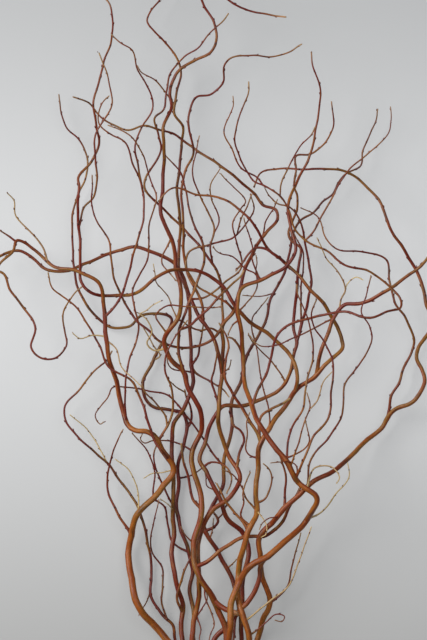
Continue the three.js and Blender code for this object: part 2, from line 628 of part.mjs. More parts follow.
// Lifts one run until it lies clear above every earlier run it crosses.
function settle(run, earlier, fork) {
  const { rings, rise, phase } = run;
  const length = rings[rings.length - 1].s;
  const start = fork ? fork.z : rings[0].radius * FLAT_ALLOWANCE;
  const resting = rings.map(({ s, radius }) => {
    const t = s / length;
    const curl = Math.min(9, rise / 8) * Math.sin((2 * Math.PI * s) / CURL_LENGTH + phase);
    const spring = rise * t * t * (1.35 - 0.35 * t) + curl * Math.min(1, s / 60);
    return Math.max(radius * FLAT_ALLOWANCE, start + spring);
  });
  const wanted = resting.slice();
  const near = [];
  for (let i = 0; i + 1 < rings.length; i++) {
    const [a, b] = [rings[i], rings[i + 1]];
    for (const { other, sameStem } of earlier) {
      for (let j = 0; j + 1 < other.rings.length; j++) {
        const [c, d] = [other.rings[j], other.rings[j + 1]];
        const reach = (Math.max(a.radius, b.radius) + Math.max(c.radius, d.radius)) * FLAT_ALLOWANCE;
        const margin = reach + STEM_GAP;
        if (Math.min(a.x, b.x) - Math.max(c.x, d.x) > margin) continue;
        if (Math.min(c.x, d.x) - Math.max(a.x, b.x) > margin) continue;
        if (Math.min(a.y, b.y) - Math.max(c.y, d.y) > margin) continue;
        if (Math.min(c.y, d.y) - Math.max(a.y, b.y) > margin) continue;
        const midX = (a.x + b.x) / 2;
        const midY = (a.y + b.y) / 2;
        if (sameStem && Math.hypot(midX - fork.x, midY - fork.y) < FORK_REACH) continue;
        near.push({ i, c, d, margin });
      }
    }
  }
  for (let round = 0; round < SETTLE_ROUNDS; round++) {
    const extra = wanted.map((z, i) => z - resting[i]);
    for (let i = 0; i < rings.length; i++) {
      const spread = SPREAD + STIFFNESS * rings[i].radius;
      let sum = 1;
      for (let j = 0; j < rings.length; j++) {
        const away = (rings[i].s - rings[j].s) / spread;
        sum += Math.exp((extra[j] * Math.exp(-away * away)) / SOFTNESS) - 1;
      }
      rings[i].z = resting[i] + SOFTNESS * Math.log(sum);
    }
    if (fork) rings[0].z = fork.z;
    let clear = true;
    for (const { i, c, d, margin } of near) {
      const found = approach(rings[i], rings[i + 1], c, d);
      if (found.flat >= margin) continue;
      const above = Math.sqrt(Math.max(0, margin * margin - found.flat * found.flat));
      const short = found.distance < margin || found.drop < 0 ? above - found.drop : 0;
      if (short < 0.02) continue;
      clear = false;
      for (const k of [i, i + 1]) {
        wanted[k] = Math.max(wanted[k], rings[k].z + short * 1.08 + 0.05);
      }
    }
    if (clear) break;
  }
}

// A closed faceted stem through a run's rings: a cylinder bent along the run.
function tube({ rings }) {
  const spine = new THREE.CatmullRomCurve3(rings.map(({ x, y, z }) => new THREE.Vector3(x, y, z)));
  const count = rings.length - 1;
  const frames = spine.computeFrenetFrames(count);
  const tangents = rings.map((_, i) => spine.getTangent(i / count));
  const sides = rings[0].radius > 2.1 ? 4 : 3;
  const shape = new THREE.CylinderGeometry(1, 1, 1, sides, count);
  shape.deleteAttribute("normal");
  shape.deleteAttribute("uv");
  const at = shape.getAttribute("position");
  for (let k = 0; k < at.count; k++) {
    const ring = Math.round((at.getY(k) + 0.5) * count);
    const { x, y, z, radius } = rings[ring];
    const across = frames.normals[ring].clone();
    across.addScaledVector(tangents[ring], -across.dot(tangents[ring])).normalize();
    const beside = new THREE.Vector3().crossVectors(tangents[ring], across);
    const point = new THREE.Vector3(x, y, z);
    point.addScaledVector(across, at.getZ(k) * radius * FLAT_ALLOWANCE);
    point.addScaledVector(beside, at.getX(k) * radius * FLAT_ALLOWANCE);
    at.setXYZ(k, point.x, point.y, point.z);
  }
  const merged = mergeVertices(shape, 1e-4);
  const mesh = new wasm.Mesh({
    numProp: 3,
    vertProperties: new Float32Array(merged.getAttribute("position").array),
    triVerts: new Uint32Array(merged.index.array),
  });
  return new wasm.Manifold(mesh);
}

function joined(runs) {
  let solid = null;
  for (const run of runs) solid = solid ? solid.add(tube(run)) : tube(run);
  const { vertProperties, triVerts } = solid.getMesh();
  const geometry = new THREE.BufferGeometry();
  geometry.setAttribute("position", new THREE.BufferAttribute(new Float32Array(vertProperties), 3));
  geometry.setIndex(new THREE.BufferAttribute(new Uint32Array(triVerts), 1));
  geometry.computeVertexNormals();
  return geometry;
}

const bunch = new THREE.Group();
bunch.name = "willow_bunch";
const settled = [];
for (const { name, bark, runs } of stems) {
  const own = [];
  for (const { radius, rise, route } of runs) {
    const fork = own.length ? nearestWood(own, ...route[0]) : null;
    const line = fork ? [[fork.x, fork.y], ...route.slice(1)] : route;
    const run = { rings: ringsOf(line, radius), rise, phase: 2.4 * (settled.length + own.length) };
    const earlier = settled.map((other) => ({ other, sameStem: false }));
    earlier.push(...own.map((other) => ({ other, sameStem: true })));
    settle(run, earlier, fork);
    own.push(run);
  }
  settled.push(...own);
  const stem = new THREE.Mesh(joined(own), new THREE.MeshStandardMaterial(bark));
  stem.name = name;
  bunch.add(stem);
}

const box = new THREE.Box3().setFromObject(bunch);
const middle = box.getCenter(new THREE.Vector3());
bunch.position.set(-middle.x, -middle.y, -box.min.z);

export default bunch;
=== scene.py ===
"""A bunch of cut corkscrew willow lying on the floor, as round wood with its bark, buds and cut ends.

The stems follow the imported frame: the same routes, worked out the same way, with the lowest
stem's cut end in the CAD model giving where the bunch lies. Lengths in the table of stems are
millimetres, and everything that goes into Blender is metres.
"""
import functools
import math

import bpy
import numpy as np
from bpy.props import FloatProperty, FloatVectorProperty, PointerProperty
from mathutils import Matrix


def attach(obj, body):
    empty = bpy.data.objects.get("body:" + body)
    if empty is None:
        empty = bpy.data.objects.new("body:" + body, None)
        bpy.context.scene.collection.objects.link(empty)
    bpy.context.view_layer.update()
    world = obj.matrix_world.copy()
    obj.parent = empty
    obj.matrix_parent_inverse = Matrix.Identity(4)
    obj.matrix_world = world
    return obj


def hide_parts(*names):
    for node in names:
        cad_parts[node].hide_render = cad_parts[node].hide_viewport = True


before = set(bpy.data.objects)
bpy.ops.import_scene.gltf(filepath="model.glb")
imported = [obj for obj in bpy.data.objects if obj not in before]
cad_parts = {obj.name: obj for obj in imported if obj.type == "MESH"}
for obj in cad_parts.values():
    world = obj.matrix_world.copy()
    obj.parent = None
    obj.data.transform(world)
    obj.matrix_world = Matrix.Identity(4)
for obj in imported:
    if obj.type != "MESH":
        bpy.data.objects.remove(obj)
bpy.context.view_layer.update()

bl_info = {
    "name": "Corkscrew Willow Bunch",
    "version": (1, 0, 0),
    "blender": (4, 5, 0),
    "location": "3D View > Sidebar > Willow",
    "description": "Builds a bunch of curly willow stems with bark, buds and cut ends",
    "category": "Add Mesh",
}

# How the stems are laid on each other, as in the CAD model. Millimetres and radians.
FLAT_ALLOWANCE = 1.2  # corner radius of a faceted CAD stem over the wood's real radius
STEM_GAP = 0.6  # clear air between two stems where one rests on the other
LONGEST_FACET = 27  # ring spacing along straight wood
TURN_PER_RING = 0.62  # radians of bend that call for a new ring
SPREAD = 30  # how far along a thin shoot a crossing lifts it
STIFFNESS = 9  # added spread per millimetre of radius
SOFTNESS = 1.2  # rounding where two lifts meet
FORK_REACH = 30  # round a fork a shoot may touch its own stem
CURL_LENGTH = 150  # length of one turn of the corkscrew
TAPER = 1.35  # over 1 keeps the wood thick for longer before it thins to the tip
SETTLE_ROUNDS = 14
CURL_HEIGHT = 9  # most that a turn of the corkscrew lifts the wood
CURL_START = 60  # how far from its foot a shoot's curl has grown to its full height
LEAST_LIFT = 0.02  # a crossing that is short of clear air by less than this is left
OVER_LIFT = (1.08, 0.05)  # a lift is made larger by this share and this length, to settle sooner

VIEW_MIDDLE = 700  # how far along the bunch the view is centred, in the routes' frame

# The studio, in metres and in the row frame. Each light's place, side and colour.
KEY_LIGHT = ((-3.0, 1.4, 2.9), 2.8, (1.0, 0.985, 0.96))
FILL_LIGHT = ((0.6, 0.6, 4.0), 3.2, (0.97, 0.985, 1.0))
SKY_COLOUR = (0.93, 0.96, 1.0, 1)
FLOOR_PAINTED_LIGHT_PEAK = 0.15  # where along the bunch the floor's painted light is brightest, so that the floor is palest there
FLOOR_PAINTED_SHADE_ENDS = (-0.75, 0.75)  # where the floor's painted shade has darkened it to its colours past the cut ends and the tips

# The stems, lowest in the pile first: name, bark, and runs of wood. A run is its radius at the
# thick end and at the tip, how high the tip springs, how straw-coloured and dry it is, and its
# route from the thick end. A shoot's first point is moved onto the nearest wood of its stem.
STEMS = (
    ("dark_stem", "maroon", (
        (3.5, 1.1, 22, 0, (
            (-3, 22), (-9, 70), (-20, 130), (-32, 200), (-31, 235), (-37, 279), (-33, 308),
            (-41, 343), (-52, 375), (-58, 407), (-55, 438), (-55, 478), (-47, 502), (-42, 534),
            (-49, 555), (-68, 559), (-92, 563), (-108, 579), (-110, 604), (-95, 635), (-82, 662),
            (-70, 684), (-66, 702), (-84, 710), (-114, 706), (-132, 690), (-157, 688),
            (-176, 698), (-196, 720), (-212, 749), (-219, 787), (-221, 832), (-221, 864),
            (-212, 897), (-202, 918), (-197, 940), (-201, 965), (-213, 985), (-230, 1001),
            (-238, 1023), (-241, 1042), (-242, 1054),
        )),
        (1.3, 0.9, 20, 0.5, (
            (-77, 628), (-84, 644), (-94, 660), (-104, 678), (-113, 694),
        )),
        (2, 1.2, 16, 0, (
            (-44, 530), (-36, 540), (-34, 553), (-37, 567), (-43, 580), (-45, 592),
        )),
        (1.3, 0.9, 14, 0, (
            (-54, 452), (-36, 456), (-23, 464), (-12, 474),
        )),
        (1.7, 1, 22, 0, (
            (-40, 336), (-54, 343), (-66, 355), (-71, 375), (-77, 407), (-94, 423), (-92, 460),
            (-104, 495), (-128, 523),
        )),
        (1.2, 0.9, 20, 0, (
            (-45, 586), (-57, 594), (-68, 604),
        )),
        (1.7, 1.2, 24, 0, (
            (-57, 392), (-65, 412), (-76, 433), (-84, 452), (-92, 472), (-93, 492), (-88, 508),
        )),
    )),
    ("maroon_stem", "maroon", (
        (3.9, 1, 29, 0, (
            (10, 8), (20, 70), (34, 140), (44, 205), (38, 262), (26, 300), (7, 336), (-10, 364),
            (-15, 380), (4, 418), (16, 446), (16, 482), (25, 510), (29, 540), (28, 572),
            (42, 600), (47, 626), (57, 654), (72, 678), (84, 706), (90, 735), (103, 757),
            (113, 780), (119, 805), (125, 836), (135, 855), (155, 867), (170, 884), (186, 897),
            (197, 917), (207, 929), (230, 941), (234, 965), (246, 993), (255, 1015), (257, 1031),
        )),
        (2.4, 1.6, 8, 0, (
            (-12, 370), (-1, 375), (7, 384), (4, 394), (-4, 402),
        )),
        (1.7, 0.9, 29, 0, (
            (16, 470), (4, 484), (-8, 502), (-22, 523), (-38, 544), (-57, 568), (-71, 582),
            (-97, 588), (-138, 595), (-158, 594), (-166, 578), (-185, 551), (-177, 537),
            (-171, 541),
        )),
        (0.9, 0.8, 20, 0.1, (
            (93, 742), (80, 738), (66, 737), (52, 738), (45, 739),
        )),
        (1.2, 0.8, 26, 0, (
            (66, 667), (61, 679), (60, 692), (62, 706), (72, 718), (86, 736),
        )),
        (1.2, 0.8, 22, 0, (
            (6, 388), (15, 398), (21, 412), (29, 427),
        )),
        (1, 0.8, 16, 0, (
            (-3, 358), (-1, 375), (0, 390),
        )),
        (1, 0.9, 12, 0, (
            (25, 312), (33, 321), (37, 326),
        )),
    )),
    ("slender_stem", "maroon", (
        (2.6, 1.3, 43, 0, (
            (-19, 26), (-27, 80), (-42, 140), (-61, 202), (-64, 222), (-82, 240), (-98, 268),
            (-97, 312), (-104, 355), (-113, 393), (-128, 424), (-146, 447), (-162, 471),
            (-180, 488), (-208, 513), (-230, 540), (-233, 564), (-208, 593), (-189, 618),
            (-168, 636), (-158, 652),
        )),
        (1.6, 0.9, 29, 0, (
            (-74, 232), (-81, 256), (-80, 282), (-80, 310), (-97, 338), (-98, 360), (-92, 390),
            (-85, 420),
        )),
        (1, 0.8, 22, 0.9, (
            (-165, 477), (-180, 502), (-197, 528), (-210, 540), (-225, 552),
        )),
        (1.1, 0.8, 19, 0, (
            (-98, 276), (-104, 260), (-112, 247), (-117, 238),
        )),
    )),
    ("inner_stem", "russet", (
        (4.1, 1.2, 43, 0, (
            (-13, 3), (-22, 70), (-36, 140), (-50, 205), (-49, 256), (-60, 295), (-65, 335),
            (-62, 372), (-64, 404), (-62, 440), (-65, 489), (-63, 534), (-48, 560), (-33, 596),
            (-35, 640), (-37, 695), (-39, 735), (-55, 785), (-53, 820), (-52, 855), (-57, 903),
            (-53, 940), (-50, 975), (-48, 1002), (-61, 1023), (-58, 1054), (-51, 1086),
            (-54, 1103), (-70, 1128), (-92, 1151), (-104, 1168), (-98, 1183), (-85, 1200),
            (-75, 1218), (-78, 1236),
        )),
        (2.1, 1, 24, 0, (
            (-51, 242), (-57, 262), (-48, 300), (-38, 324), (-28, 344), (-24, 366),
        )),
        (1.3, 0.9, 29, 0, (
            (-62, 1036), (-78, 1060), (-93, 1076), (-114, 1088), (-119, 1098),
        )),
        (1.8, 1, 26, 0, (
            (-36, 624), (-26, 616), (-4, 603), (14, 592), (25, 579),
        )),
        (1.8, 1, 30, 0, (
            (-36, 630), (-24, 645), (-21, 663), (-17, 685), (-14, 704),
        )),
        (1.2, 0.9, 24, 0, (
            (-32, 618), (-45, 620), (-55, 621), (-65, 624), (-71, 631), (-73, 645),
        )),
        (0.9, 0.7, 20, 0.8, (
            (-65, 465), (-80, 461), (-95, 460), (-110, 452),
        )),
        (0.8, 0.7, 16, 0.7, (
            (-62, 403), (-72, 412), (-84, 421),
        )),
    )),
    ("red_stem", "russet", (
        (4.4, 1.1, 50, 0, (
            (2, 14), (0, 80), (-4, 140), (2, 200), (23, 223), (41, 248), (47, 301), (56, 338),
            (46, 365), (20, 392), (8, 425), (-10, 459), (-21, 481), (-13, 510), (0, 546),
            (15, 565), (41, 565), (81, 578), (110, 597), (118, 613), (125, 641), (130, 664),
            (126, 685), (126, 710), (130, 738), (131, 761), (134, 790), (136, 813), (121, 825),
            (117, 836), (124, 855), (131, 876), (131, 895), (126, 908), (129, 933), (129, 956),
            (153, 960), (174, 977), (187, 1001), (187, 1020), (184, 1042),
        )),
        (2.4, 1.1, 36, 0, (
            (130, 664), (136, 687), (143, 710), (150, 741), (153, 762), (148, 795), (142, 828),
            (135, 856), (118, 877), (101, 881), (92, 888),
        )),
        (1.6, 0.9, 29, 0, (
            (136, 690), (137, 720), (137, 751), (141, 790), (139, 810), (128, 830), (121, 846),
        )),
        (1.3, 0.9, 30, 0, (
            (112, 602), (105, 616), (90, 636), (72, 654), (60, 667), (54, 680),
        )),
        (1.6, 1.2, 12, 0, (
            (-17, 469), (-6, 477), (8, 476), (22, 468), (28, 456), (26, 440), (20, 428),
        )),
        (2.2, 1.6, 8, 0, (
            (34, 236), (33, 218), (31, 200), (29, 184),
        )),
        (1, 0.7, 22, 0, (
            (-6, 428), (-10, 440), (-12, 455), (-17, 472),
        )),
        (1, 0.8, 22, 0, (
            (95, 886), (86, 895), (80, 906),
        )),
    )),
    ("brown_stem", "amber", (
        (4.4, 1.2, 79, 0, (
            (-8, 6), (-15, 80), (-26, 150), (-34, 200), (-26, 250), (-22, 287), (-25, 330),
            (-18, 375), (-2, 401), (28, 426), (42, 452), (25, 486), (10, 526), (8, 565),
            (13, 609), (15, 660), (14, 690), (30, 712), (38, 735), (49, 778), (66, 813),
            (82, 837), (100, 856), (97, 872), (78, 880), (63, 898), (34, 923), (11, 941),
            (-12, 956), (-39, 974), (-59, 989), (-84, 997), (-109, 1003), (-135, 996),
            (-154, 1004), (-173, 1014), (-194, 1038), (-206, 1044), (-220, 1048),
        )),
        (3.1, 1.1, 43, 0, (
            (13, 616), (4, 662), (-10, 688), (-28, 715), (-42, 751), (-57, 785), (-79, 799),
            (-122, 814), (-148, 809), (-192, 792), (-230, 777), (-259, 778), (-281, 795),
            (-305, 809), (-333, 800), (-347, 793), (-345, 781), (-328, 772), (-317, 746),
            (-295, 717), (-278, 688), (-285, 658), (-268, 640), (-247, 641), (-230, 659),
            (-232, 682), (-235, 709), (-218, 740), (-204, 753),
        )),
        (2.3, 1.1, 65, 0, (
            (-17, 698), (-18, 726), (-38, 767), (-46, 800), (-47, 852), (-50, 903), (-43, 935),
            (-31, 962), (-38, 996), (-38, 1023), (-26, 1048), (-4, 1052), (15, 1071), (17, 1097),
            (27, 1108), (61, 1112), (90, 1110), (115, 1116), (138, 1130),
        )),
        (2.1, 1.1, 58, 0, (
            (14, 690), (14, 719), (10, 765), (-15, 807), (-49, 845), (-87, 882), (-107, 904),
            (-105, 924), (-86, 954), (-82, 970), (-86, 990), (-92, 1014), (-78, 1028),
            (-73, 1058), (-67, 1085), (-45, 1111), (-22, 1126), (-8, 1145), (14, 1165),
            (24, 1178),
        )),
        (1.7, 1, 43, 0, (
            (-44, 791), (-38, 807), (-6, 818), (31, 829), (51, 851), (63, 872), (58, 895),
        )),
        (1.6, 0.9, 48, 0, (
            (-2, 788), (-5, 812), (1, 845), (-10, 871), (-25, 903), (-33, 930), (-28, 958),
            (-22, 988),
        )),
        (1.2, 0.8, 36, 0, (
            (1, 834), (9, 856), (-3, 889), (-5, 909), (11, 937),
        )),
        (1.6, 0.9, 43, 0, (
            (-34, 733), (-12, 736), (18, 759), (44, 783), (38, 815), (30, 850), (42, 873),
            (50, 885), (31, 908), (19, 919), (11, 929),
        )),
        (2.2, 1, 50, 0, (
            (14, 688), (2, 673), (-18, 661), (-36, 657), (-65, 659), (-83, 666), (-102, 684),
            (-122, 701), (-144, 738), (-156, 768), (-160, 800), (-164, 826), (-181, 852),
            (-190, 880), (-189, 906), (-189, 926),
        )),
        (1.8, 1.2, 20, 0, (
            (8, 567), (1, 590), (-3, 606), (2, 626), (5, 650), (1, 668),
        )),
        (2.2, 1.6, 14, 0, (
            (36, 467), (40, 490), (48, 512), (42, 527), (31, 536), (27, 548),
        )),
        (1.1, 0.8, 14, 0, (
            (15, 617), (24, 625), (28, 638),
        )),
        (1.1, 0.8, 12, 0, (
            (-28, 240), (-20, 216), (-22, 200), (-17, 186),
        )),
        (1.9, 1.3, 26, 0, (
            (33, 715), (20, 727), (5, 736), (-12, 744), (-25, 753), (-35, 767), (-43, 783),
            (-43, 793),
        )),
        (1.2, 0.8, 26, 0, (
            (76, 830), (79, 842), (81, 852), (87, 864), (95, 876), (100, 889),
        )),
        (1.3, 1, 26, 0, (
            (36, 834), (40, 848), (45, 862), (51, 874), (56, 886), (60, 897),
        )),
        (1.6, 1.2, 24, 0, (
            (5, 683), (-5, 687), (-18, 684), (-30, 686), (-40, 691), (-48, 698), (-58, 702),
        )),
        (1.2, 0.9, 16, 0, (
            (-25, 236), (-17, 250), (-10, 262), (-12, 278),
        )),
    )),
    ("orange_stem", "amber", (
        (4.9, 1.3, 86, 0, (
            (14, 2), (19, 80), (21, 150), (19, 212), (2, 259), (-15, 287), (-31, 324), (-30, 355),
            (-22, 385), (-18, 418), (-31, 462), (-33, 497), (-18, 528), (-20, 554), (-41, 598),
            (-48, 620), (-69, 642), (-77, 668), (-56, 703), (-50, 735), (-58, 778), (-64, 823),
            (-82, 864), (-80, 900), (-78, 935), (-77, 973), (-79, 1000), (-66, 1030), (-68, 1055),
            (-58, 1085), (-31, 1105), (-5, 1117), (5, 1142), (0, 1166), (-16, 1194), (-21, 1213),
            (-5, 1223), (22, 1200), (48, 1185), (78, 1178), (114, 1172),
        )),
        (2.5, 1.1, 50, 0, (
            (-44, 612), (-54, 648), (-54, 680), (-44, 712), (-30, 748), (-15, 791), (-16, 816),
            (-34, 858), (-44, 905), (-52, 931), (-76, 957),
        )),
        (3.3, 2.1, 30, 0, (
            (-20, 317), (-7, 325), (17, 344), (40, 358), (62, 362), (80, 363), (98, 374),
            (109, 388), (119, 409), (130, 428), (138, 444),
        )),
        (2.3, 1.6, 26, 0, (
            (-20, 405), (-31, 417), (-36, 436), (-41, 460), (-48, 484), (-50, 508),
        )),
        (1.3, 0.9, 20, 0, (
            (-34, 495), (-58, 508), (-76, 511), (-96, 511), (-107, 507), (-114, 513), (-111, 523),
        )),
        (4.3, 3.9, 16, 0, (
            (0, 262), (8, 255), (18, 249), (32, 243), (44, 238),
        )),
        (1.2, 0.8, 10, 0, (
            (-13, 284), (-13, 266), (-3, 242), (1, 223), (-5, 208), (-9, 190),
        )),
        (1.4, 0.9, 32, 0.6, (
            (-76, 655), (-92, 652), (-104, 664), (-96, 682), (-104, 700), (-118, 712),
        )),
        (1.4, 0.9, 22, 0, (
            (-64, 828), (-72, 815), (-80, 800), (-80, 788), (-72, 777), (-63, 767), (-57, 760),
        )),
        (1.1, 0.7, 26, 0.2, (
            (-64, 704), (-64, 718), (-70, 735), (-80, 748), (-90, 760), (-91, 772), (-94, 788),
        )),
        (1.4, 0.9, 26, 0, (
            (-75, 680), (-84, 694), (-90, 707), (-82, 717), (-68, 723), (-45, 721), (-20, 720),
            (0, 719), (14, 722),
        )),
        (0.9, 0.7, 18, 0.6, (
            (-118, 706), (-105, 715), (-96, 722), (-82, 730),
        )),
        (2.1, 1.4, 28, 0, (
            (-48, 684), (-36, 692), (-24, 703), (-12, 714), (0, 726), (12, 740), (26, 753),
            (42, 768), (48, 778),
        )),
        (1.1, 0.8, 16, 0, (
            (-36, 350), (-44, 364), (-51, 378),
        )),
    )),
    ("right_stem", "golden", (
        (4.8, 1.3, 79, 0, (
            (28, 6), (38, 80), (52, 140), (69, 200), (77, 229), (86, 246), (88, 261), (84, 276),
            (77, 298), (73, 324), (73, 362), (95, 388), (123, 418), (158, 449), (196, 470),
            (228, 501), (262, 530), (272, 545), (281, 557), (291, 564), (305, 568), (316, 575),
            (324, 587), (330, 606), (326, 624), (318, 640), (320, 656), (335, 677), (345, 702),
            (333, 723), (326, 757), (303, 802), (275, 845), (261, 883), (231, 916), (209, 931),
            (176, 936), (146, 935), (100, 936), (73, 929), (63, 906),
        )),
        (2.2, 0.9, 58, 0, (
            (272, 545), (275, 562), (279, 582), (291, 603), (299, 628), (310, 648), (314, 668),
            (300, 704), (285, 725), (275, 765), (271, 794), (237, 806), (192, 811), (174, 831),
            (164, 860), (137, 875),
        )),
        (1.7, 1, 48, 0, (
            (146, 440), (152, 483), (179, 516), (200, 552), (205, 600), (228, 632), (246, 667),
            (243, 690), (230, 712), (238, 740), (245, 770),
        )),
        (2, 1.2, 26, 0, (
            (110, 406), (111, 426), (113, 450), (110, 469), (104, 486), (97, 500),
        )),
        (1.6, 0.9, 24, 0, (
            (88, 256), (114, 280), (124, 320), (137, 368),
        )),
        (1.1, 0.8, 20, 0, (
            (108, 400), (98, 393), (86, 391), (76, 383), (71, 373),
        )),
    )),
    ("forked_stem", "golden", (
        (5.2, 1.2, 94, 0, (
            (20, 18), (30, 80), (46, 140), (57, 200), (42, 248), (38, 298), (46, 341), (53, 368),
            (67, 394), (66, 423), (69, 460), (72, 500), (89, 534), (111, 563), (127, 588),
            (157, 611), (185, 640), (202, 656), (201, 670), (188, 699), (173, 724), (150, 749),
            (125, 778), (108, 792), (82, 815), (66, 845), (42, 871), (12, 890), (-28, 896),
            (-63, 906), (-87, 884),
        )),
        (3.1, 1.3, 79, 0, (
            (127, 588), (131, 610), (127, 633), (106, 660), (87, 677), (60, 695), (38, 716),
            (17, 749), (-10, 771), (-55, 779), (-89, 767), (-116, 744), (-148, 738), (-192, 743),
            (-206, 760), (-208, 815), (-212, 871), (-210, 908), (-211, 922), (-192, 946),
            (-179, 973), (-182, 1000), (-187, 1040), (-178, 1073), (-170, 1106), (-160, 1132),
            (-157, 1165), (-161, 1190), (-168, 1200),
        )),
        (1.7, 1, 40, 0, (
            (-209, 845), (-202, 876), (-187, 893), (-182, 920), (-185, 960), (-184, 990),
            (-170, 1013), (-158, 1036), (-161, 1060), (-166, 1084), (-174, 1105), (-179, 1117),
        )),
        (3.2, 2.3, 50, 0, (
            (161, 614), (165, 640), (176, 672), (187, 700), (204, 724), (227, 725), (266, 743),
            (296, 764), (316, 778), (333, 795), (341, 806),
        )),
        (2.7, 1.3, 26, 0, (
            (74, 508), (67, 525), (45, 561), (31, 584), (19, 606), (19, 638), (24, 658),
            (19, 677), (8, 696),
        )),
        (2.2, 1.9, 6, 0, (
            (74, 514), (71, 534), (76, 551), (90, 561), (108, 569), (120, 578),
        )),
        (2.4, 1.3, 16, 0, (
            (112, 790), (97, 801), (82, 811), (66, 812), (53, 801), (43, 786), (34, 776),
        )),
        (1.3, 0.9, 24, 0, (
            (86, 530), (88, 546), (86, 563), (81, 581), (76, 601), (71, 630), (67, 658),
            (57, 676),
        )),
        (1.3, 0.9, 24, 0, (
            (185, 701), (164, 691), (150, 683), (125, 672), (100, 661), (76, 659), (60, 668),
        )),
        (1.6, 1, 16, 0, (
            (69, 414), (80, 420), (87, 432), (91, 453), (87, 467), (77, 476),
        )),
        (2.2, 1.3, 16, 0, (
            (53, 371), (44, 387), (31, 402), (20, 415), (13, 430), (4, 446),
        )),
        (1.5, 1, 20, 0, (
            (56, 378), (43, 394), (47, 414), (46, 428), (50, 446), (58, 463),
        )),
        (1.3, 0.9, 18, 0, (
            (70, 484), (58, 487), (51, 496), (53, 524), (52, 542), (57, 556),
        )),
        (1.3, 0.8, 32, 0.4, (
            (197, 716), (199, 732), (206, 746), (196, 773), (177, 795), (166, 819), (161, 829),
        )),
        (1, 0.8, 17, 0.9, (
            (205, 740), (209, 756), (223, 767), (234, 762),
        )),
        (1.4, 0.9, 24, 0.6, (
            (53, 232), (60, 238), (84, 258), (118, 286), (129, 312), (141, 345), (153, 378),
        )),
        (3.9, 3.4, 14, 0, (
            (48, 250), (58, 266), (67, 280), (72, 300), (72, 314), (80, 326), (90, 335),
        )),
        (1.3, 0.9, 12, 0, (
            (56, 207), (76, 222), (97, 240), (111, 237), (107, 229), (95, 232),
        )),
        (1.5, 0.9, 29, 0, (
            (66, 402), (52, 420), (44, 439), (32, 457), (12, 468),
        )),
        (1.2, 0.9, 24, 0, (
            (41, 715), (51, 726), (61, 737), (68, 752), (68, 765), (66, 778), (68, 790),
            (66, 802),
        )),
        (0.9, 0.7, 18, 0.7, (
            (68, 402), (76, 392), (83, 378), (82, 366), (74, 361),
        )),
    )),
    ("bowed_stem", "golden", (
        (5.6, 1.1, 101, 0, (
            (3, -6), (14, 80), (20, 150), (25, 215), (30, 264), (50, 308), (84, 332), (118, 359),
            (149, 393), (161, 421), (133, 447), (109, 486), (78, 526), (57, 574), (47, 614),
            (46, 652), (42, 690), (37, 722), (43, 748), (84, 767), (113, 784), (128, 806),
            (122, 840), (116, 870), (121, 895), (134, 923), (151, 958), (159, 995), (166, 1040),
            (166, 1064), (155, 1094), (152, 1118),
        )),
        (2.1, 1.1, 58, 0, (
            (61, 566), (66, 584), (84, 620), (90, 642), (95, 666), (110, 688), (136, 699),
            (168, 707), (203, 713), (243, 703), (269, 713), (291, 719), (290, 735), (271, 755),
            (242, 776), (203, 786), (179, 806), (143, 824), (125, 845), (117, 872), (101, 895),
            (78, 909), (62, 917), (39, 958), (33, 981), (41, 1019), (54, 1052), (55, 1071),
        )),
        (1.4, 0.8, 43, 0, (
            (78, 909), (66, 923), (43, 936), (28, 967), (16, 992), (25, 1018), (31, 1034),
            (30, 1048),
        )),
        (1.6, 0.8, 43, 0, (
            (143, 824), (158, 841), (168, 862), (181, 883), (194, 909), (212, 935), (243, 961),
            (271, 989), (276, 1011), (275, 1032),
        )),
        (1.3, 1, 32, 0, (
            (103, 892), (105, 911), (121, 946), (134, 969), (152, 988), (158, 1000),
        )),
        (1.4, 0.9, 26, 0, (
            (112, 486), (127, 491), (142, 500), (149, 513), (146, 530), (142, 544),
        )),
        (1.9, 1.1, 43, 0, (
            (128, 455), (141, 484), (155, 518), (179, 548), (183, 588), (186, 632), (174, 663),
            (157, 688), (152, 708), (160, 733),
        )),
        (1.8, 0.9, 43, 0, (
            (113, 480), (120, 528), (139, 562), (144, 600), (155, 645), (152, 678), (145, 706),
            (131, 740), (129, 756),
        )),
        (1.4, 0.9, 32, 0, (
            (119, 470), (131, 505), (142, 544), (150, 565), (145, 588),
        )),
        (1.2, 0.8, 29, 0.4, (
            (150, 560), (162, 576), (170, 603), (184, 620),
        )),
        (1.4, 0.8, 36, 0.85, (
            (146, 389), (170, 401), (192, 430), (211, 454), (209, 478),
        )),
        (1.4, 0.9, 32, 0.6, (
            (147, 440), (158, 470), (184, 471), (196, 456), (191, 445),
        )),
        (1.3, 0.9, 26, 0, (
            (74, 762), (64, 773), (52, 779), (44, 785), (36, 794), (28, 800), (12, 803), (4, 808),
            (-1, 816),
        )),
        (1.3, 0.9, 28, 0, (
            (72, 765), (64, 783), (60, 798), (61, 812), (57, 828), (51, 845), (47, 860),
        )),
        (2, 1.6, 20, 0, (
            (46, 640), (43, 651), (38, 662), (30, 671), (22, 673),
        )),
        (1.2, 0.9, 18, 0, (
            (40, 700), (31, 693), (25, 683), (22, 677),
        )),
        (1.1, 0.8, 20, 0, (
            (130, 462), (128, 474), (118, 480), (104, 479), (88, 478),
        )),
    )),
    ("left_stem", "golden", (
        (6, 1.8, 94, 0, (
            (-25, 10), (-30, 80), (-42, 150), (-73, 200), (-112, 243), (-130, 300), (-131, 355),
            (-118, 396), (-82, 435), (-63, 464), (-79, 496), (-91, 516), (-104, 525), (-122, 528),
            (-136, 539), (-143, 562), (-150, 596), (-165, 650), (-170, 705), (-178, 756),
            (-215, 777), (-250, 784), (-282, 812), (-307, 824), (-313, 806), (-333, 788),
            (-343, 768),
        )),
        (1.7, 1, 14, 0, (
            (-309, 823), (-320, 831), (-336, 842),
        )),
        (2, 1, 43, 0, (
            (-131, 365), (-151, 399), (-166, 437), (-162, 476), (-152, 507), (-141, 530),
        )),
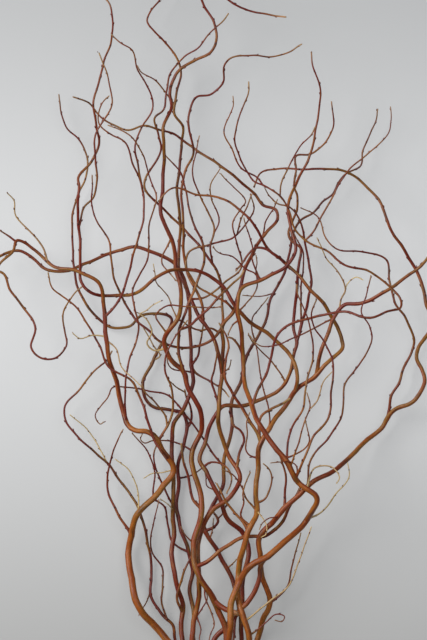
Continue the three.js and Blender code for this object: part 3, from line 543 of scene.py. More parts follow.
        (2.1, 1.1, 50, 0, (
            (-72, 482), (-92, 512), (-111, 569), (-129, 606), (-163, 626), (-178, 660),
            (-197, 694), (-216, 722), (-252, 751), (-258, 775),
        )),
        (1.1, 0.8, 29, 0.9, (
            (-122, 398), (-118, 430), (-132, 465), (-154, 483),
        )),
        (1.9, 1, 65, 0, (
            (-168, 705), (-149, 728), (-136, 760), (-124, 806), (-109, 860), (-112, 910),
            (-126, 944), (-137, 976), (-158, 988), (-178, 1005), (-175, 1034), (-162, 1049),
        )),
        (1.6, 1, 58, 0, (
            (-111, 898), (-117, 938), (-122, 972), (-110, 1003), (-95, 1028), (-98, 1053),
            (-119, 1092), (-126, 1119), (-144, 1130), (-159, 1144),
        )),
        (1.6, 1, 58, 0, (
            (-138, 540), (-138, 590), (-133, 632), (-117, 684), (-126, 745), (-103, 796),
            (-100, 850), (-89, 890), (-100, 923), (-109, 955), (-130, 987), (-165, 1004),
        )),
        (1.9, 1.1, 40, 0, (
            (-88, 510), (-80, 522), (-69, 540), (-63, 570), (-67, 598), (-76, 622), (-73, 648),
            (-57, 678), (-40, 700),
        )),
        (1.6, 1, 30, 0, (
            (-72, 534), (-76, 551), (-90, 570), (-107, 588), (-112, 601),
        )),
        (1.1, 0.8, 22, 0.7, (
            (-169, 674), (-190, 676), (-208, 671), (-220, 680),
        )),
        (1.1, 0.8, 26, 0.5, (
            (-167, 669), (-152, 655), (-143, 626), (-124, 608), (-112, 595),
        )),
        (1.5, 0.9, 32, 0.35, (
            (-262, 788), (-267, 815), (-286, 838), (-308, 862), (-311, 886), (-322, 899),
        )),
    )),
)


# ---------------------------------------------------------------- the pile of stems


def spline(points, at):
    """Centripetal Catmull-Rom curve through the points, at parameters from 0 to 1.

    Each span is the cubic through its two points whose end slopes come from the divided
    differences of the four points round it, with knots spaced by the root of their distance."""
    points = np.asarray(points, float)
    ends = np.vstack([2 * points[0] - points[1], points, 2 * points[-1] - points[-2]])
    spans = len(points) - 1
    place = np.asarray(at, float) * spans
    span = np.minimum(place.astype(int), spans - 1)
    t = (place - span)[:, None]
    a, b, c, d = (ends[span + k] for k in range(4))
    ab, bc, cd = (np.sqrt(np.linalg.norm(q - p, axis=1))[:, None] for p, q in ((a, b), (b, c), (c, d)))
    start = ((b - a) / ab - (c - a) / (ab + bc) + (c - b) / bc) * bc
    end = ((c - b) / bc - (d - b) / (bc + cd) + (d - c) / cd) * bc
    cubic = 2 * b - 2 * c + start + end
    square = 3 * c - 3 * b - 2 * start - end
    return b + t * (start + t * (square + t * cubic))


def walked(points):
    """Distance along a chain of points, from its first."""
    steps = np.linalg.norm(np.diff(points, axis=0), axis=1)
    return np.concatenate([[0], np.cumsum(steps)])


def even_route(route):
    """The smooth route as points about 2 mm apart, and its length."""
    rough = walked(spline(route, np.linspace(0, 1, 201)))[-1]
    steps = math.ceil(rough / 2)
    grid = np.linspace(0, 1, 4 * steps + 1)
    far = walked(spline(route, grid))
    return spline(route, np.interp(np.linspace(0, far[-1], steps + 1), far, grid)), far[-1]


class Run:
    """One unbranched length of wood: its fine plan line, and the CAD rings that carry its height."""

    def __init__(self, route, thick, thin, rise, straw, phase):
        self.plan, self.length = even_route(route)
        self.thick, self.thin, self.rise, self.straw, self.phase = thick, thin, rise, straw, phase
        step = np.diff(self.plan, axis=0)
        long = np.linalg.norm(step, axis=1)
        cosine = (step[1:] * step[:-1]).sum(1) / (long[1:] * long[:-1])
        turn = np.append(np.arccos(np.clip(cosine, -1, 1)), 0)
        cost = np.concatenate([[0], np.cumsum(long / LONGEST_FACET + turn / TURN_PER_RING)])
        count = max(2, math.ceil(cost[-1]))
        index = np.arange(len(self.plan))
        place = np.interp(np.linspace(0, cost[-1], count + 1), cost, index)
        x, y = (np.interp(place, index, self.plan[:, k]) for k in (0, 1))
        self.rings = np.stack([x, y, np.zeros(count + 1)], axis=1)
        self.s = place * self.length / (len(self.plan) - 1)
        self.radius = self.girth(self.s)
        self.forks = []
        self.parent_radius = 0.0

    def girth(self, s):
        """The wood's radius at distance s: a taper from thick to thin, slow at first."""
        return self.thick + (self.thin - self.thick) * np.power(s / self.length, TAPER)


def nearest_wood(own, x, y):
    """The point of a stem's wood nearest to (x, y) in plan, with its run and how far along it is."""
    best = (math.inf,)
    for run in own:
        a, b = run.rings[:-1], run.rings[1:]
        u = b[:, :2] - a[:, :2]
        t = np.clip((([x, y] - a[:, :2]) * u).sum(1) / (u * u).sum(1), 0, 1)
        at = a + (b - a) * t[:, None]
        away = np.hypot(x - at[:, 0], y - at[:, 1])
        k = int(np.argmin(away))
        if away[k] < best[0]:
            best = (away[k], at[k], run, run.s[k] + t[k] * (run.s[k + 1] - run.s[k]))
    return best[1:]


def approach(a, b, c, d):
    """How near straight pieces a-b and c-d come in space, in plan, and by how much a-b is higher."""
    u, v, w = b - a, d - c, a - c
    uu, uv, vv, uw, vw = ((p * q).sum(1) for p, q in ((u, u), (u, v), (v, v), (u, w), (v, w)))
    flat = uu * vv - uv * uv
    safe = np.where(flat > 1e-9 * uu * vv, flat, 1)
    s = np.where(flat > 1e-9 * uu * vv, np.clip((uv * vw - vv * uw) / safe, 0, 1), 0)
    t = np.clip((uv * s + vw) / vv, 0, 1)
    s = np.clip((uv * t - uw) / uu, 0, 1)
    gap = w + u * s[:, None] - v * t[:, None]
    return np.linalg.norm(gap, axis=1), np.hypot(gap[:, 0], gap[:, 1]), gap[:, 2]


def neighbours(run, earlier, own, fork):
    """Pairs of a run's straight pieces and earlier ones that could meet, with their clearance."""
    if not earlier:
        return np.zeros(0, int), np.zeros((0, 3)), np.zeros((0, 3)), np.zeros(0)
    c = np.vstack([other.rings[:-1] for other in earlier])
    d = np.vstack([other.rings[1:] for other in earlier])
    thick = np.concatenate([np.maximum(o.radius[:-1], o.radius[1:]) for o in earlier])
    same = np.concatenate([np.full(len(o.s) - 1, o in own) for o in earlier])
    a, b = run.rings[:-1], run.rings[1:]
    mine = np.maximum(run.radius[:-1], run.radius[1:])
    margin = (mine[:, None] + thick) * FLAT_ALLOWANCE + STEM_GAP
    near = np.ones(margin.shape, bool)
    for k in (0, 1):
        near &= np.minimum(a[:, k], b[:, k])[:, None] - np.maximum(c[:, k], d[:, k]) <= margin
        near &= np.minimum(c[:, k], d[:, k]) - np.maximum(a[:, k], b[:, k])[:, None] <= margin
    if fork is not None:
        middle = (a + b) / 2
        close = np.hypot(middle[:, 0] - fork[0], middle[:, 1] - fork[1]) < FORK_REACH
        near &= ~(close[:, None] & same)
    i, j = np.nonzero(near)
    return i, c[j], d[j], margin[i, j]


def settle(run, earlier, own, fork):
    """Lifts one run until it lies clear above every earlier run that it crosses.

    A shoot springs by its rise times t^2 (1.35 - 0.35 t), with t the share of its length, and
    curls by a sine. The lift round a crossing falls off along the wood as a bell curve, wider on
    stiffer wood, and lifts that meet are joined by a soft maximum."""
    s, rings = run.s, run.rings
    start = run.radius[0] * FLAT_ALLOWANCE if fork is None else fork[2]
    t = s / s[-1]
    curl = min(CURL_HEIGHT, run.rise / 8) * np.sin(2 * math.pi * s / CURL_LENGTH + run.phase)
    spring = run.rise * t * t * (1.35 - 0.35 * t) + curl * np.minimum(1, s / CURL_START)
    resting = np.maximum(run.radius * FLAT_ALLOWANCE, start + spring)
    wanted = resting.copy()
    i, c, d, margin = neighbours(run, earlier, own, fork)
    away = (s[:, None] - s) / (SPREAD + STIFFNESS * run.radius)[:, None]
    bell = np.exp(-away * away)
    for _ in range(SETTLE_ROUNDS):
        total = 1 + (np.exp((wanted - resting) * bell / SOFTNESS) - 1).sum(1)
        rings[:, 2] = resting + SOFTNESS * np.log(total)
        if fork is not None:
            rings[0, 2] = fork[2]
        near, flat, drop = approach(rings[i], rings[i + 1], c, d)
        above = np.sqrt(np.maximum(0, margin**2 - flat**2))
        touching = (flat < margin) & ((near < margin) | (drop < 0))
        short = np.where(touching, above - drop, 0)
        found = short >= LEAST_LIFT
        if not found.any():
            break
        for k in (i[found], i[found] + 1):
            np.maximum.at(wanted, k, rings[k, 2] + short[found] * OVER_LIFT[0] + OVER_LIFT[1])


@functools.lru_cache(maxsize=1)
def pile():
    """Every stem's runs, laid on each other in order, in the routes' own frame: {name: runs}."""
    laid, everything = {}, []
    for name, _, runs in STEMS:
        own = []
        for thick, thin, rise, straw, route in runs:
            fork, line = None, route
            if own:
                fork, parent, along = nearest_wood(own, *route[0])
                line = ((fork[0], fork[1]), *route[1:])
            run = Run(line, thick, thin, rise, straw, 2.4 * (len(everything) + len(own)))
            if own:
                parent.forks.append((along, thick))
                run.parent_radius = float(parent.girth(along))
            settle(run, everything + own, own, fork)
            own.append(run)
        everything += own
        laid[name] = own
    return laid


@functools.lru_cache(maxsize=1)
def bunch_place():
    """What takes the routes' frame, in millimetres, to the row frame, in metres.

    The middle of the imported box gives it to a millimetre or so, and then the corners of the
    lowest stem's cut end, the only CAD points that near to it, give it exactly."""
    runs = [run for own in pile().values() for run in own]
    reach = np.concatenate([run.radius for run in runs])[:, None] * FLAT_ALLOWANCE
    rings = np.vstack([run.rings for run in runs])
    low, high = (rings - reach).min(0), (rings + reach).max(0)
    shift = -np.array([(low[0] + high[0]) / 2, (low[1] + high[1]) / 2, 0]) / 1000
    name = STEMS[0][0]
    cut = pile()[name][0].rings[0] / 1000
    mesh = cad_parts[name].data
    corners = np.zeros(len(mesh.vertices) * 3, np.float32)
    mesh.vertices.foreach_get("co", corners)
    corners = np.unique(corners.reshape(-1, 3).astype(float).round(6), axis=0)
    reach = pile()[name][0].thick * FLAT_ALLOWANCE / 1000 + 0.004
    near = corners[np.linalg.norm(corners - cut - shift, axis=1) < reach]
    return (near.min(0) + near.max(0)) / 2 - cut


# ---------------------------------------------------------------- round wood

CUT_RINGS = (0.93, 0.84, 0.62, 0.36, 0.15)  # rings of the cut face, as shares of its radius
CUT_REACH = 16  # how far from a cut end its rings lean over with the cut
TIP_RINGS = (0.35, 0.62, 0.84, 0.95)  # rings of a rounded tip, as shares of its rounding
LEAF_TURN = math.radians(144)  # willow's leaves are two fifths of a turn apart
ZIGZAG = 0.24  # how far the wood steps aside at a node, as a share of its radius
MOST_OUTSIDE = 1.18  # swellings and lobes together stay under this, inside the clear air
COLLAR = 0.16  # how much a fork thickens its parent, as a share of the radius
DRY_TIP = 26  # length of a tip that dries out
GRAIN_SHIFT = 977.0  # moves each run's grain along, so that no two runs share a pattern


def gentle(s, knots, heights):
    """Heights between the knots by cubics whose slope at a knot is the harmonic mean of the two
    slopes beside it, and level where they have opposite signs, so that no bump is added."""
    gap = np.diff(knots)
    slope = np.diff(heights) / gap
    both = slope[1:] * slope[:-1] > 0
    mean = 2 * slope[1:] * slope[:-1] / np.where(both, slope[1:] + slope[:-1], 1)
    m = np.concatenate([[slope[0]], np.where(both, mean, 0), [slope[-1]]])
    k = np.clip(np.searchsorted(knots, s, side="right") - 1, 0, len(gap) - 1)
    t = (s - knots[k]) / gap[k]
    rise = heights[k] + t * t * (3 - 2 * t) * (heights[k + 1] - heights[k])
    return rise + gap[k] * t * (1 - t) * ((1 - t) * m[k] - t * m[k + 1])


def node_places(run, sizes, dice):
    """Where a run's leaf nodes are: close together on thin wood, farther apart on thick."""
    s = np.linspace(0, run.length, max(8, int(run.length / 4)))
    spacing = sizes.node_spacing * 1000 * (0.7 + 0.28 * run.girth(s))
    counted = np.concatenate([[0], np.cumsum(np.diff(s) / (spacing[1:] + spacing[:-1]) * 2)])
    wanted = np.arange(0.6, counted[-1], 1)
    wanted = wanted + dice.uniform(-0.22, 0.22, len(wanted))
    return np.interp(wanted, counted, s)


def axis_of(run, s, nodes):
    """The middle line at distances s, in millimetres in the row frame, with its unit tangent,
    side and up. At each node the wood turns a little, left and right by turns."""
    index = np.linspace(0, run.length, len(run.plan))
    knots = np.concatenate([[0], nodes, [run.length]])
    turns = np.where(np.arange(len(knots)) % 2, 1.0, -1.0) * ZIGZAG * run.girth(knots)
    turns[0] = 0

    def middle(at):
        """The line at distances at."""
        at = np.clip(at, 0, run.length)
        x, y = (np.interp(at, index, run.plan[:, k]) for k in (0, 1))
        return np.stack([x, y, gentle(at, run.s, run.rings[:, 2])], axis=1)

    points = middle(s)
    along = middle(s + 0.8) - middle(s - 0.8)
    along /= np.linalg.norm(along, axis=1)[:, None]
    side = np.cross(along, [0, 0, 1])
    side /= np.linalg.norm(side, axis=1)[:, None]
    up = np.cross(side, along)
    points = points + side * np.interp(s, knots, turns)[:, None]
    return points + bunch_place() * 1000, along, side, up


def tube_quads(rings, sides):
    """Quads between neighbouring rings of points, with their fronts outwards."""
    turn = np.arange(sides)
    after = (turn + 1) % sides
    low = np.arange(rings - 1)[:, None] * sides
    high = low + sides
    quads = np.stack([low + turn, high + turn, high + after, low + after], axis=-1)
    return quads.reshape(-1, 4)


class Wood:
    """A run as a surface: its rings, nodes and outside radius as a function of (s, angle)."""

    def __init__(self, run, sizes, number, is_stem):
        dice = np.random.default_rng(700 + number)
        self.run, self.is_stem = run, is_stem
        self.nodes = node_places(run, sizes, dice)
        self.turned = dice.uniform(0, 2 * math.pi) + np.arange(len(self.nodes)) * LEAF_TURN
        self.tone = dice.uniform(-1, 1)
        self.lobes = dice.uniform(0, 2 * math.pi, 4)
        self.swelling = sizes.node_swelling
        self.flare = sizes.fork_flare
        self.sides = int(np.clip(round(6 + 2 * run.thick), 8, 16))
        self.step = sizes.ring_step * 1000

    def outside(self, s, angle):
        """Radius at distances s (rows) and angles (columns): the taper, a ring of swelling at
        each node with a cushion under its bud, both fainter on thick wood, a collar at each
        fork, slow lobes that keep the wood from being quite round, all held under what the CAD
        leaves clear, and a flare where a shoot leaves its parent."""
        run = self.run
        girth = run.girth(s)[:, None]
        width = 1.0 + 1.1 * run.girth(self.nodes)
        bell = np.exp(-(((s[:, None] - self.nodes) / width) ** 2))
        cushion = np.exp(-(((s[:, None] - self.nodes + 0.5 * width) / width) ** 2))
        facing = np.maximum(0, np.cos(angle - self.turned[:, None])) ** 3
        swelling = bell.sum(1)[:, None] * self.swelling + cushion @ facing * self.swelling * 1.4
        swelling = swelling / (1 + (girth / 3) ** 2)
        collar = np.zeros(len(s))
        for where, thick in run.forks:
            round_fork = np.exp(-(((s - where) / (2.2 * thick + 2)) ** 2))
            collar += COLLAR * min(1, thick / run.girth(where)) * round_fork
        flare = np.zeros(len(s))
        if not self.is_stem:
            room = max(0, 0.95 * run.parent_radius / run.thick - 1)
            flare = min(self.flare, room) * np.exp(-s / (run.parent_radius + 1.5))
        a, b, c, d = self.lobes
        lobes = 0.025 * np.cos(2 * angle + a + s[:, None] / 38)
        lobes = lobes + 0.018 * np.cos(3 * angle + b + s[:, None] / 23)
        lobes = lobes + 0.02 * np.sin(s[:, None] / 6.3 + c) * np.cos(angle + d)
        held = np.minimum(1 + swelling + collar[:, None] + lobes, MOST_OUTSIDE)
        return girth * (held + flare[:, None])

    def stations(self):
        """Ring distances: even along the wood, closer at a cut end and over a rounded tip."""
        run = self.run
        round_off = 1.6 * run.thin
        body = np.linspace(0, run.length - round_off, max(6, int(run.length / self.step)))
        first = np.array([0.0, 0.25]) if self.is_stem else np.array([0.4])
        tip = run.length - round_off * (1 - np.array(TIP_RINGS))
        return np.concatenate([first, body[1:], tip]), round_off

    def surface(self, slant):
        """The wood as arrays: points, quads, triangles, their UVs, and what its bark follows.

        A ring of points stands square to the middle line at each station. A cut stem's first
        rings lean over by the slant of the cut and its end is closed by rings of pale wood;
        a shoot starts at a point inside its parent, and every tip rounds off to a point."""
        run, sides = self.run, self.sides
        s, round_off = self.stations()
        angle = np.arange(sides) * 2 * math.pi / sides
        centre, along, side, up = axis_of(run, s, self.nodes)
        radius = self.outside(s, angle)
        past = np.clip((s - (run.length - round_off)) / round_off, 0, 1)
        radius = radius * np.sqrt(1 - past**2)[:, None]
        across, above = np.cos(angle), np.sin(angle)
        lean = np.zeros_like(radius)
        if self.is_stem:
            lean = math.tan(slant) * np.clip(1 - s / CUT_REACH, 0, 1)[:, None] * radius * above
        outward = across[:, None] * side[:, None] + above[:, None] * up[:, None]
        ring = centre[:, None] + radius[..., None] * outward
        ring = ring + lean[..., None] * along[:, None]
        count = len(s)
        points = [ring.reshape(-1, 3)]
        distance = np.repeat(s, sides)
        girth = np.repeat(run.girth(s), sides)
        core = np.ones(count * sides)
        if self.is_stem:
            inner = np.array(CUT_RINGS)
            middle = ring[0].mean(0)
            points.append((middle + (ring[0] - middle) * inner[:, None, None]).reshape(-1, 3))
            core = np.append(core, np.repeat(inner, sides))
            distance = np.append(distance, np.zeros(len(inner) * sides))
            girth = np.append(girth, np.full(len(inner) * sides, run.thick))
            points.append(middle[None])
        else:
            points.append(centre[:1] - along[:1] * 0.4)
        tip = axis_of(run, np.array([run.length]), self.nodes)[0]
        points.append(tip)
        points = np.vstack(points)
        core = np.append(core, [0 if self.is_stem else 1, 1])
        distance = np.append(distance, [0, run.length])
        girth = np.append(girth, [run.thick, run.thin])
        mean = radius.mean(1)[:, None]
        grain = np.stack([np.repeat(s, sides), (across * mean).ravel(), (above * mean).ravel()], axis=1)
        grain = np.vstack([grain, np.zeros((len(points) - len(grain), 3))])
        grain[:, 0] += GRAIN_SHIFT * self.tone
        quads, tris, wood_faces = self.faces(count)
        node = np.exp(-(((distance[:, None] - self.nodes) / (0.5 + 0.35 * girth[:, None])) ** 2))
        facing = np.cos(np.resize(angle, len(points))[:, None] - self.turned)
        node = node * (0.2 + 0.8 * np.maximum(0, facing) ** 2) / (1 + (girth[:, None] / 2.2) ** 2)
        return {
            "points": points / 1000,
            "quads": quads,
            "tris": tris,
            "is_wood": wood_faces,
            "girth": girth,
            "grain": grain,
            "node": node.sum(1),
            "core": core,
            "tone": np.full(len(points), self.tone),
            "straw": np.clip(self.dryness(distance), 0, 1),
            "strip": (distance, sides),
        }

    def dryness(self, s):
        """How pale and dry the wood is: the run's own share, and more at the last of a thin tip."""
        run = self.run
        tip = np.clip((s - run.length + DRY_TIP) / DRY_TIP, 0, 1) ** 1.5
        return run.straw + tip * (0.75 if run.thin < 0.75 else 0.35)

    def faces(self, count):
        """Quads between neighbouring rings and triangles to the two poles, seen from outside."""
        sides = self.sides
        turn = np.arange(sides)
        after = (turn + 1) % sides
        quads = tube_quads(count, sides)
        is_wood = np.zeros(len(quads), bool)
        start, pole = 0, count * sides
        if self.is_stem:
            outer = np.append(0, (count + np.arange(len(CUT_RINGS) - 1)) * sides)[:, None]
            inner = ((count + np.arange(len(CUT_RINGS))) * sides)[:, None]
            discs = np.stack([outer + turn, outer + after, inner + after, inner + turn], axis=-1)
            quads = np.vstack([quads, discs.reshape(-1, 4)])
            is_wood = np.append(is_wood, np.ones(len(CUT_RINGS) * sides, bool))
            start, pole = inner[-1, 0], inner[-1, 0] + sides
        last = (count - 1) * sides
        first = np.stack([start + turn, start + after, np.full(sides, pole)], axis=-1)
        end = np.stack([last + after, last + turn, np.full(sides, pole + 1)], axis=-1)
        is_wood = np.concatenate([is_wood, np.full(sides, self.is_stem), np.zeros(sides, bool)])
        return quads, np.vstack([first, end]), is_wood


def unrolled(faces, sides):
    """How far round its tube each corner of a face is, as a count of sides.

    A face across the seam goes on past the last side, and a pole is level with the middle of
    its triangle's edge."""
    turn = (faces % sides).astype(float)
    wrapped = (turn.max(1) - turn.min(1)) > 1.5
    turn = np.where(wrapped[:, None] & (turn < 1.5), turn + sides, turn)
    if faces.shape[1] == 3:
        turn[:, 2] = turn[:, :2].mean(1)
    return turn


def strip_map(woods, surfaces):
    """A bake map with no overlaps: every run is cut into strips of one length, laid side by side.

    Along a strip u is distance and v is the angle round the wood, so its height is the girth.
    Strips fill shelves from the thickest down. A cut face is a disc in a square of its own."""
    gutter, columns = 0.6, 8
    rounds = [2 * math.pi * wood.run.thick for wood in woods]
    area = sum(wood.run.length * (high + gutter) for wood, high in zip(woods, rounds))
    width = math.sqrt(area) * 1.06
    long = width / columns
    cells, column, bottom, shelf = {}, 0, 0.0, 0.0
    for k in sorted(range(len(woods)), key=lambda k: -rounds[k]):
        pieces = math.ceil(woods[k].run.length / (long - gutter)) + (2 if woods[k].is_stem else 0)
        for piece in range(pieces):
            if column == 0:
                shelf = rounds[k] + gutter
            cells[k, piece] = (column * long, bottom)
            column += 1
            if column == columns:
                column, bottom = 0, bottom + shelf
    scale = 1 / max(width, bottom + shelf)
    corners = []
    for k, (wood, made) in enumerate(zip(woods, surfaces)):
        places = np.array([cells[k, piece] for piece in range(sum(key[0] == k for key in cells))])
        distance, sides = made["strip"]
        for name in ("quads", "tris"):
            faces = made[name]
            s = distance[faces]
            piece = np.minimum((s.mean(1) / (long - gutter)).astype(int), len(places) - 1)
            turn = unrolled(faces, sides)
            u = places[piece, 0][:, None] + s - (piece * (long - gutter))[:, None]
            v = places[piece, 1][:, None] + turn / sides * rounds[k]
            if wood.is_stem:
                is_wood = made["is_wood"]
                disc = is_wood[: len(faces)] if name == "quads" else is_wood[-len(faces):]
                angle = turn * 2 * math.pi / sides
                size = made["core"][faces] * wood.run.thick * 0.9
                spot = places[-1] + wood.run.thick
                u = np.where(disc[:, None], spot[0] + size * np.cos(angle), u)
                v = np.where(disc[:, None], spot[1] + size * np.sin(angle), v)
            corners.append((name, k, np.stack([u, v], axis=-1) * scale + 0.001))
    quads = [c[2].reshape(-1, 2) for c in corners if c[0] == "quads"]
    tris = [c[2].reshape(-1, 2) for c in corners if c[0] == "tris"]
    return np.vstack(quads + tris)


def new_piece(name, points, quads, tris, materials, uv, point_data):
    """A closed, smooth mesh object at the origin, with a bake map and per-point attributes."""
    mesh = bpy.data.meshes.new(name)
    mesh.from_pydata(points.tolist(), [], quads.tolist() + tris.tolist())
    for key, values in point_data.items():
        kind, field = ("FLOAT_VECTOR", "vector") if values.ndim == 2 else ("FLOAT", "value")
        layer = mesh.attributes.new(key, kind, "POINT")
        layer.data.foreach_set(field, values.astype(np.float32).ravel())
    layer = mesh.uv_layers.new(name="OFBake", do_init=False)
    layer.uv.foreach_set("vector", uv.astype(np.float32).ravel())
    mesh.shade_smooth()
    for material in materials:
        mesh.materials.append(material)
    mesh.validate()
    piece = bpy.data.objects.new(name, mesh)
    bpy.context.scene.collection.objects.link(piece)
    return piece


@functools.lru_cache(maxsize=None)
def woods_of(name):
    """The surfaces of one stem's runs."""
    sizes = bpy.context.scene.willow_wood
    before = 0
    for other, _, runs in STEMS:
        if other == name:
            break
        before += len(runs)
    return [Wood(run, sizes, before + k, k == 0) for k, run in enumerate(pile()[name])]


def make_stem(name, bark):
    """One stem with its shoots: closed tubes of wood whose forks run into each other."""
    slant = bpy.context.scene.willow_wood.cut_slant
    woods = woods_of(name)
    made = [wood.surface(slant) for wood in woods]
    base = np.concatenate([[0], np.cumsum([len(m["points"]) for m in made])])
    quads = np.vstack([m["quads"] + b for m, b in zip(made, base)])
    tris = np.vstack([m["tris"] + b for m, b in zip(made, base)])
    keys = ("girth", "grain", "node", "core", "tone", "straw")
    data = {key: np.concatenate([m[key] for m in made]) for key in keys}
    points = np.vstack([m["points"] for m in made])
    finishes = [bark, cut_wood()]
    piece = new_piece(name + "_wood", points, quads, tris, finishes, strip_map(woods, made), data)
    of_quads = [m["is_wood"][: len(m["quads"])] for m in made]
    of_tris = [m["is_wood"][len(m["quads"]):] for m in made]
    marks = np.concatenate(of_quads + of_tris)
    piece.data.polygons.foreach_set("material_index", marks.astype(np.int32))
    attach(piece, "root")
    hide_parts(name)
    return piece


# ---------------------------------------------------------------- buds

BUD_LENGTHS = (0.1, 0.32, 0.6, 0.84)  # rings of a bud, as shares of its length
BUD_WIDTHS = (0.72, 1.0, 0.86, 0.46)  # their half widths, as shares of the bud's
BUD_SIDES = 6
BUD_GIRTH = 0.27  # half the width of a bud at its widest, as a share of its length
BUD_DEPTH = 0.72  # its thickness as a share of its width
BUD_SEAT = 0.86  # where its foot is, as a share of the wood's radius


def bud_points(wood, sizes, number):
    """The buds of one run, as points by bud, ring and side, with a point at each end.

    A bud is a flattened teardrop: its rings are ellipses, wide across the wood and thin off it,
    along a short axis that leans a little away from the wood. It sits on the side of its node."""
    run = wood.run
    keep = run.girth(wood.nodes) < sizes.largest_bud_wood * 1000
    keep &= wood.nodes > run.parent_radius + 5
    s, turned = wood.nodes[keep], wood.turned[keep]
    if not len(s):
        return None
    dice = np.random.default_rng(4000 + number)
    long = sizes.bud_length * 1000 * (0.55 + 0.28 * run.girth(s)) * dice.uniform(0.75, 1.2, len(s))
    centre, along, side, up = axis_of(run, s, wood.nodes)
    out = np.cos(turned)[:, None] * side + np.sin(turned)[:, None] * up
    radius = np.diagonal(wood.outside(s, turned))
    lean = dice.uniform(0.10, 0.34, len(s))[:, None]
    axis = np.cos(lean) * along + np.sin(lean) * out
    off = np.cos(lean) * out - np.sin(lean) * along
    across = np.cross(axis, off)
    foot = centre + out * (radius * BUD_SEAT)[:, None]
    angle = np.arange(BUD_SIDES) * 2 * math.pi / BUD_SIDES
    where = np.array(BUD_LENGTHS)[:, None, None] * long[:, None, None, None]
    width = np.array(BUD_WIDTHS)[:, None, None] * (BUD_GIRTH * long)[:, None, None, None]
    wide = width * np.cos(angle)[:, None]
    thin = width * BUD_DEPTH * np.sin(angle)[:, None]
    parts = (axis[:, None, None] * where, across[:, None, None] * wide, off[:, None, None] * thin)
    rings = foot[:, None, None] + sum(parts)
    ends = np.stack([foot - out * 0.1, foot + axis * long[:, None] + out * 0.05], axis=1)
    both = np.concatenate([rings.reshape(len(s), -1, 3), ends], axis=1)
    share = np.concatenate([np.repeat(BUD_LENGTHS, BUD_SIDES), [0, 1]])
    tone = np.repeat(dice.uniform(-1, 1, len(s)), both.shape[1])
    return both, np.tile(share, len(s)), tone


def bud_faces():
    """Faces of one bud: quads between its rings and triangles to its two end points."""
    rings = len(BUD_LENGTHS)
    turn = np.arange(BUD_SIDES)
    after = (turn + 1) % BUD_SIDES
    foot = np.full(BUD_SIDES, rings * BUD_SIDES)
    last = (rings - 1) * BUD_SIDES
    bottom = np.stack([turn, after, foot], axis=-1)
    top = np.stack([last + after, last + turn, foot + 1], axis=-1)
    return tube_quads(rings, BUD_SIDES), np.vstack([bottom, top])


def make_buds(name):
    """All the buds of one stem as one object."""
    sizes = bpy.context.scene.willow_wood
    found = [bud_points(wood, sizes, 31 * k + len(name)) for k, wood in enumerate(woods_of(name))]
    found = [f for f in found if f is not None]
    points = np.vstack([f[0] for f in found])
    count, each = points.shape[:2]
    quads, tris = bud_faces()
    base = (np.arange(count) * each)[:, None, None]
    side = math.ceil(math.sqrt(count))
    cell = np.stack([np.arange(count) % side, np.arange(count) // side], axis=-1) / side

    def laid_out(faces):
        """Each bud's faces in its own square of the bake map: along it in u, round it in v."""
        u = (faces // BUD_SIDES + 1.0) / (len(BUD_LENGTHS) + 1)
        if faces.shape[1] == 3:
            foot = faces[:, 2] == len(BUD_LENGTHS) * BUD_SIDES
            u[:, 2] = np.where(foot, 0, 1)
        local = np.stack([u, unrolled(faces, BUD_SIDES) / BUD_SIDES], axis=-1) * 0.9 + 0.05
        return (cell[:, None, None] + local / side).reshape(-1, 2)

    piece = new_piece(
        name + "_buds",
        points.reshape(-1, 3) / 1000,
        (quads + base).reshape(-1, 4),
        (tris + base).reshape(-1, 3),
        [bud_scale()],
        np.vstack([laid_out(quads), laid_out(tris)]),
        {key: np.concatenate([f[k] for f in found]) for k, key in ((1, "share"), (2, "tone"))},
    )
    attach(piece, "root")
    return piece


# ---------------------------------------------------------------- finishes


def paint(red, green, blue):
    """A colour given as 0 to 255 on a screen, as the light it stands for."""
    shares = (value / 255 for value in (red, green, blue))
    return tuple(v / 12.92 if v <= 0.04045 else ((v + 0.055) / 1.055) ** 2.4 for v in shares)


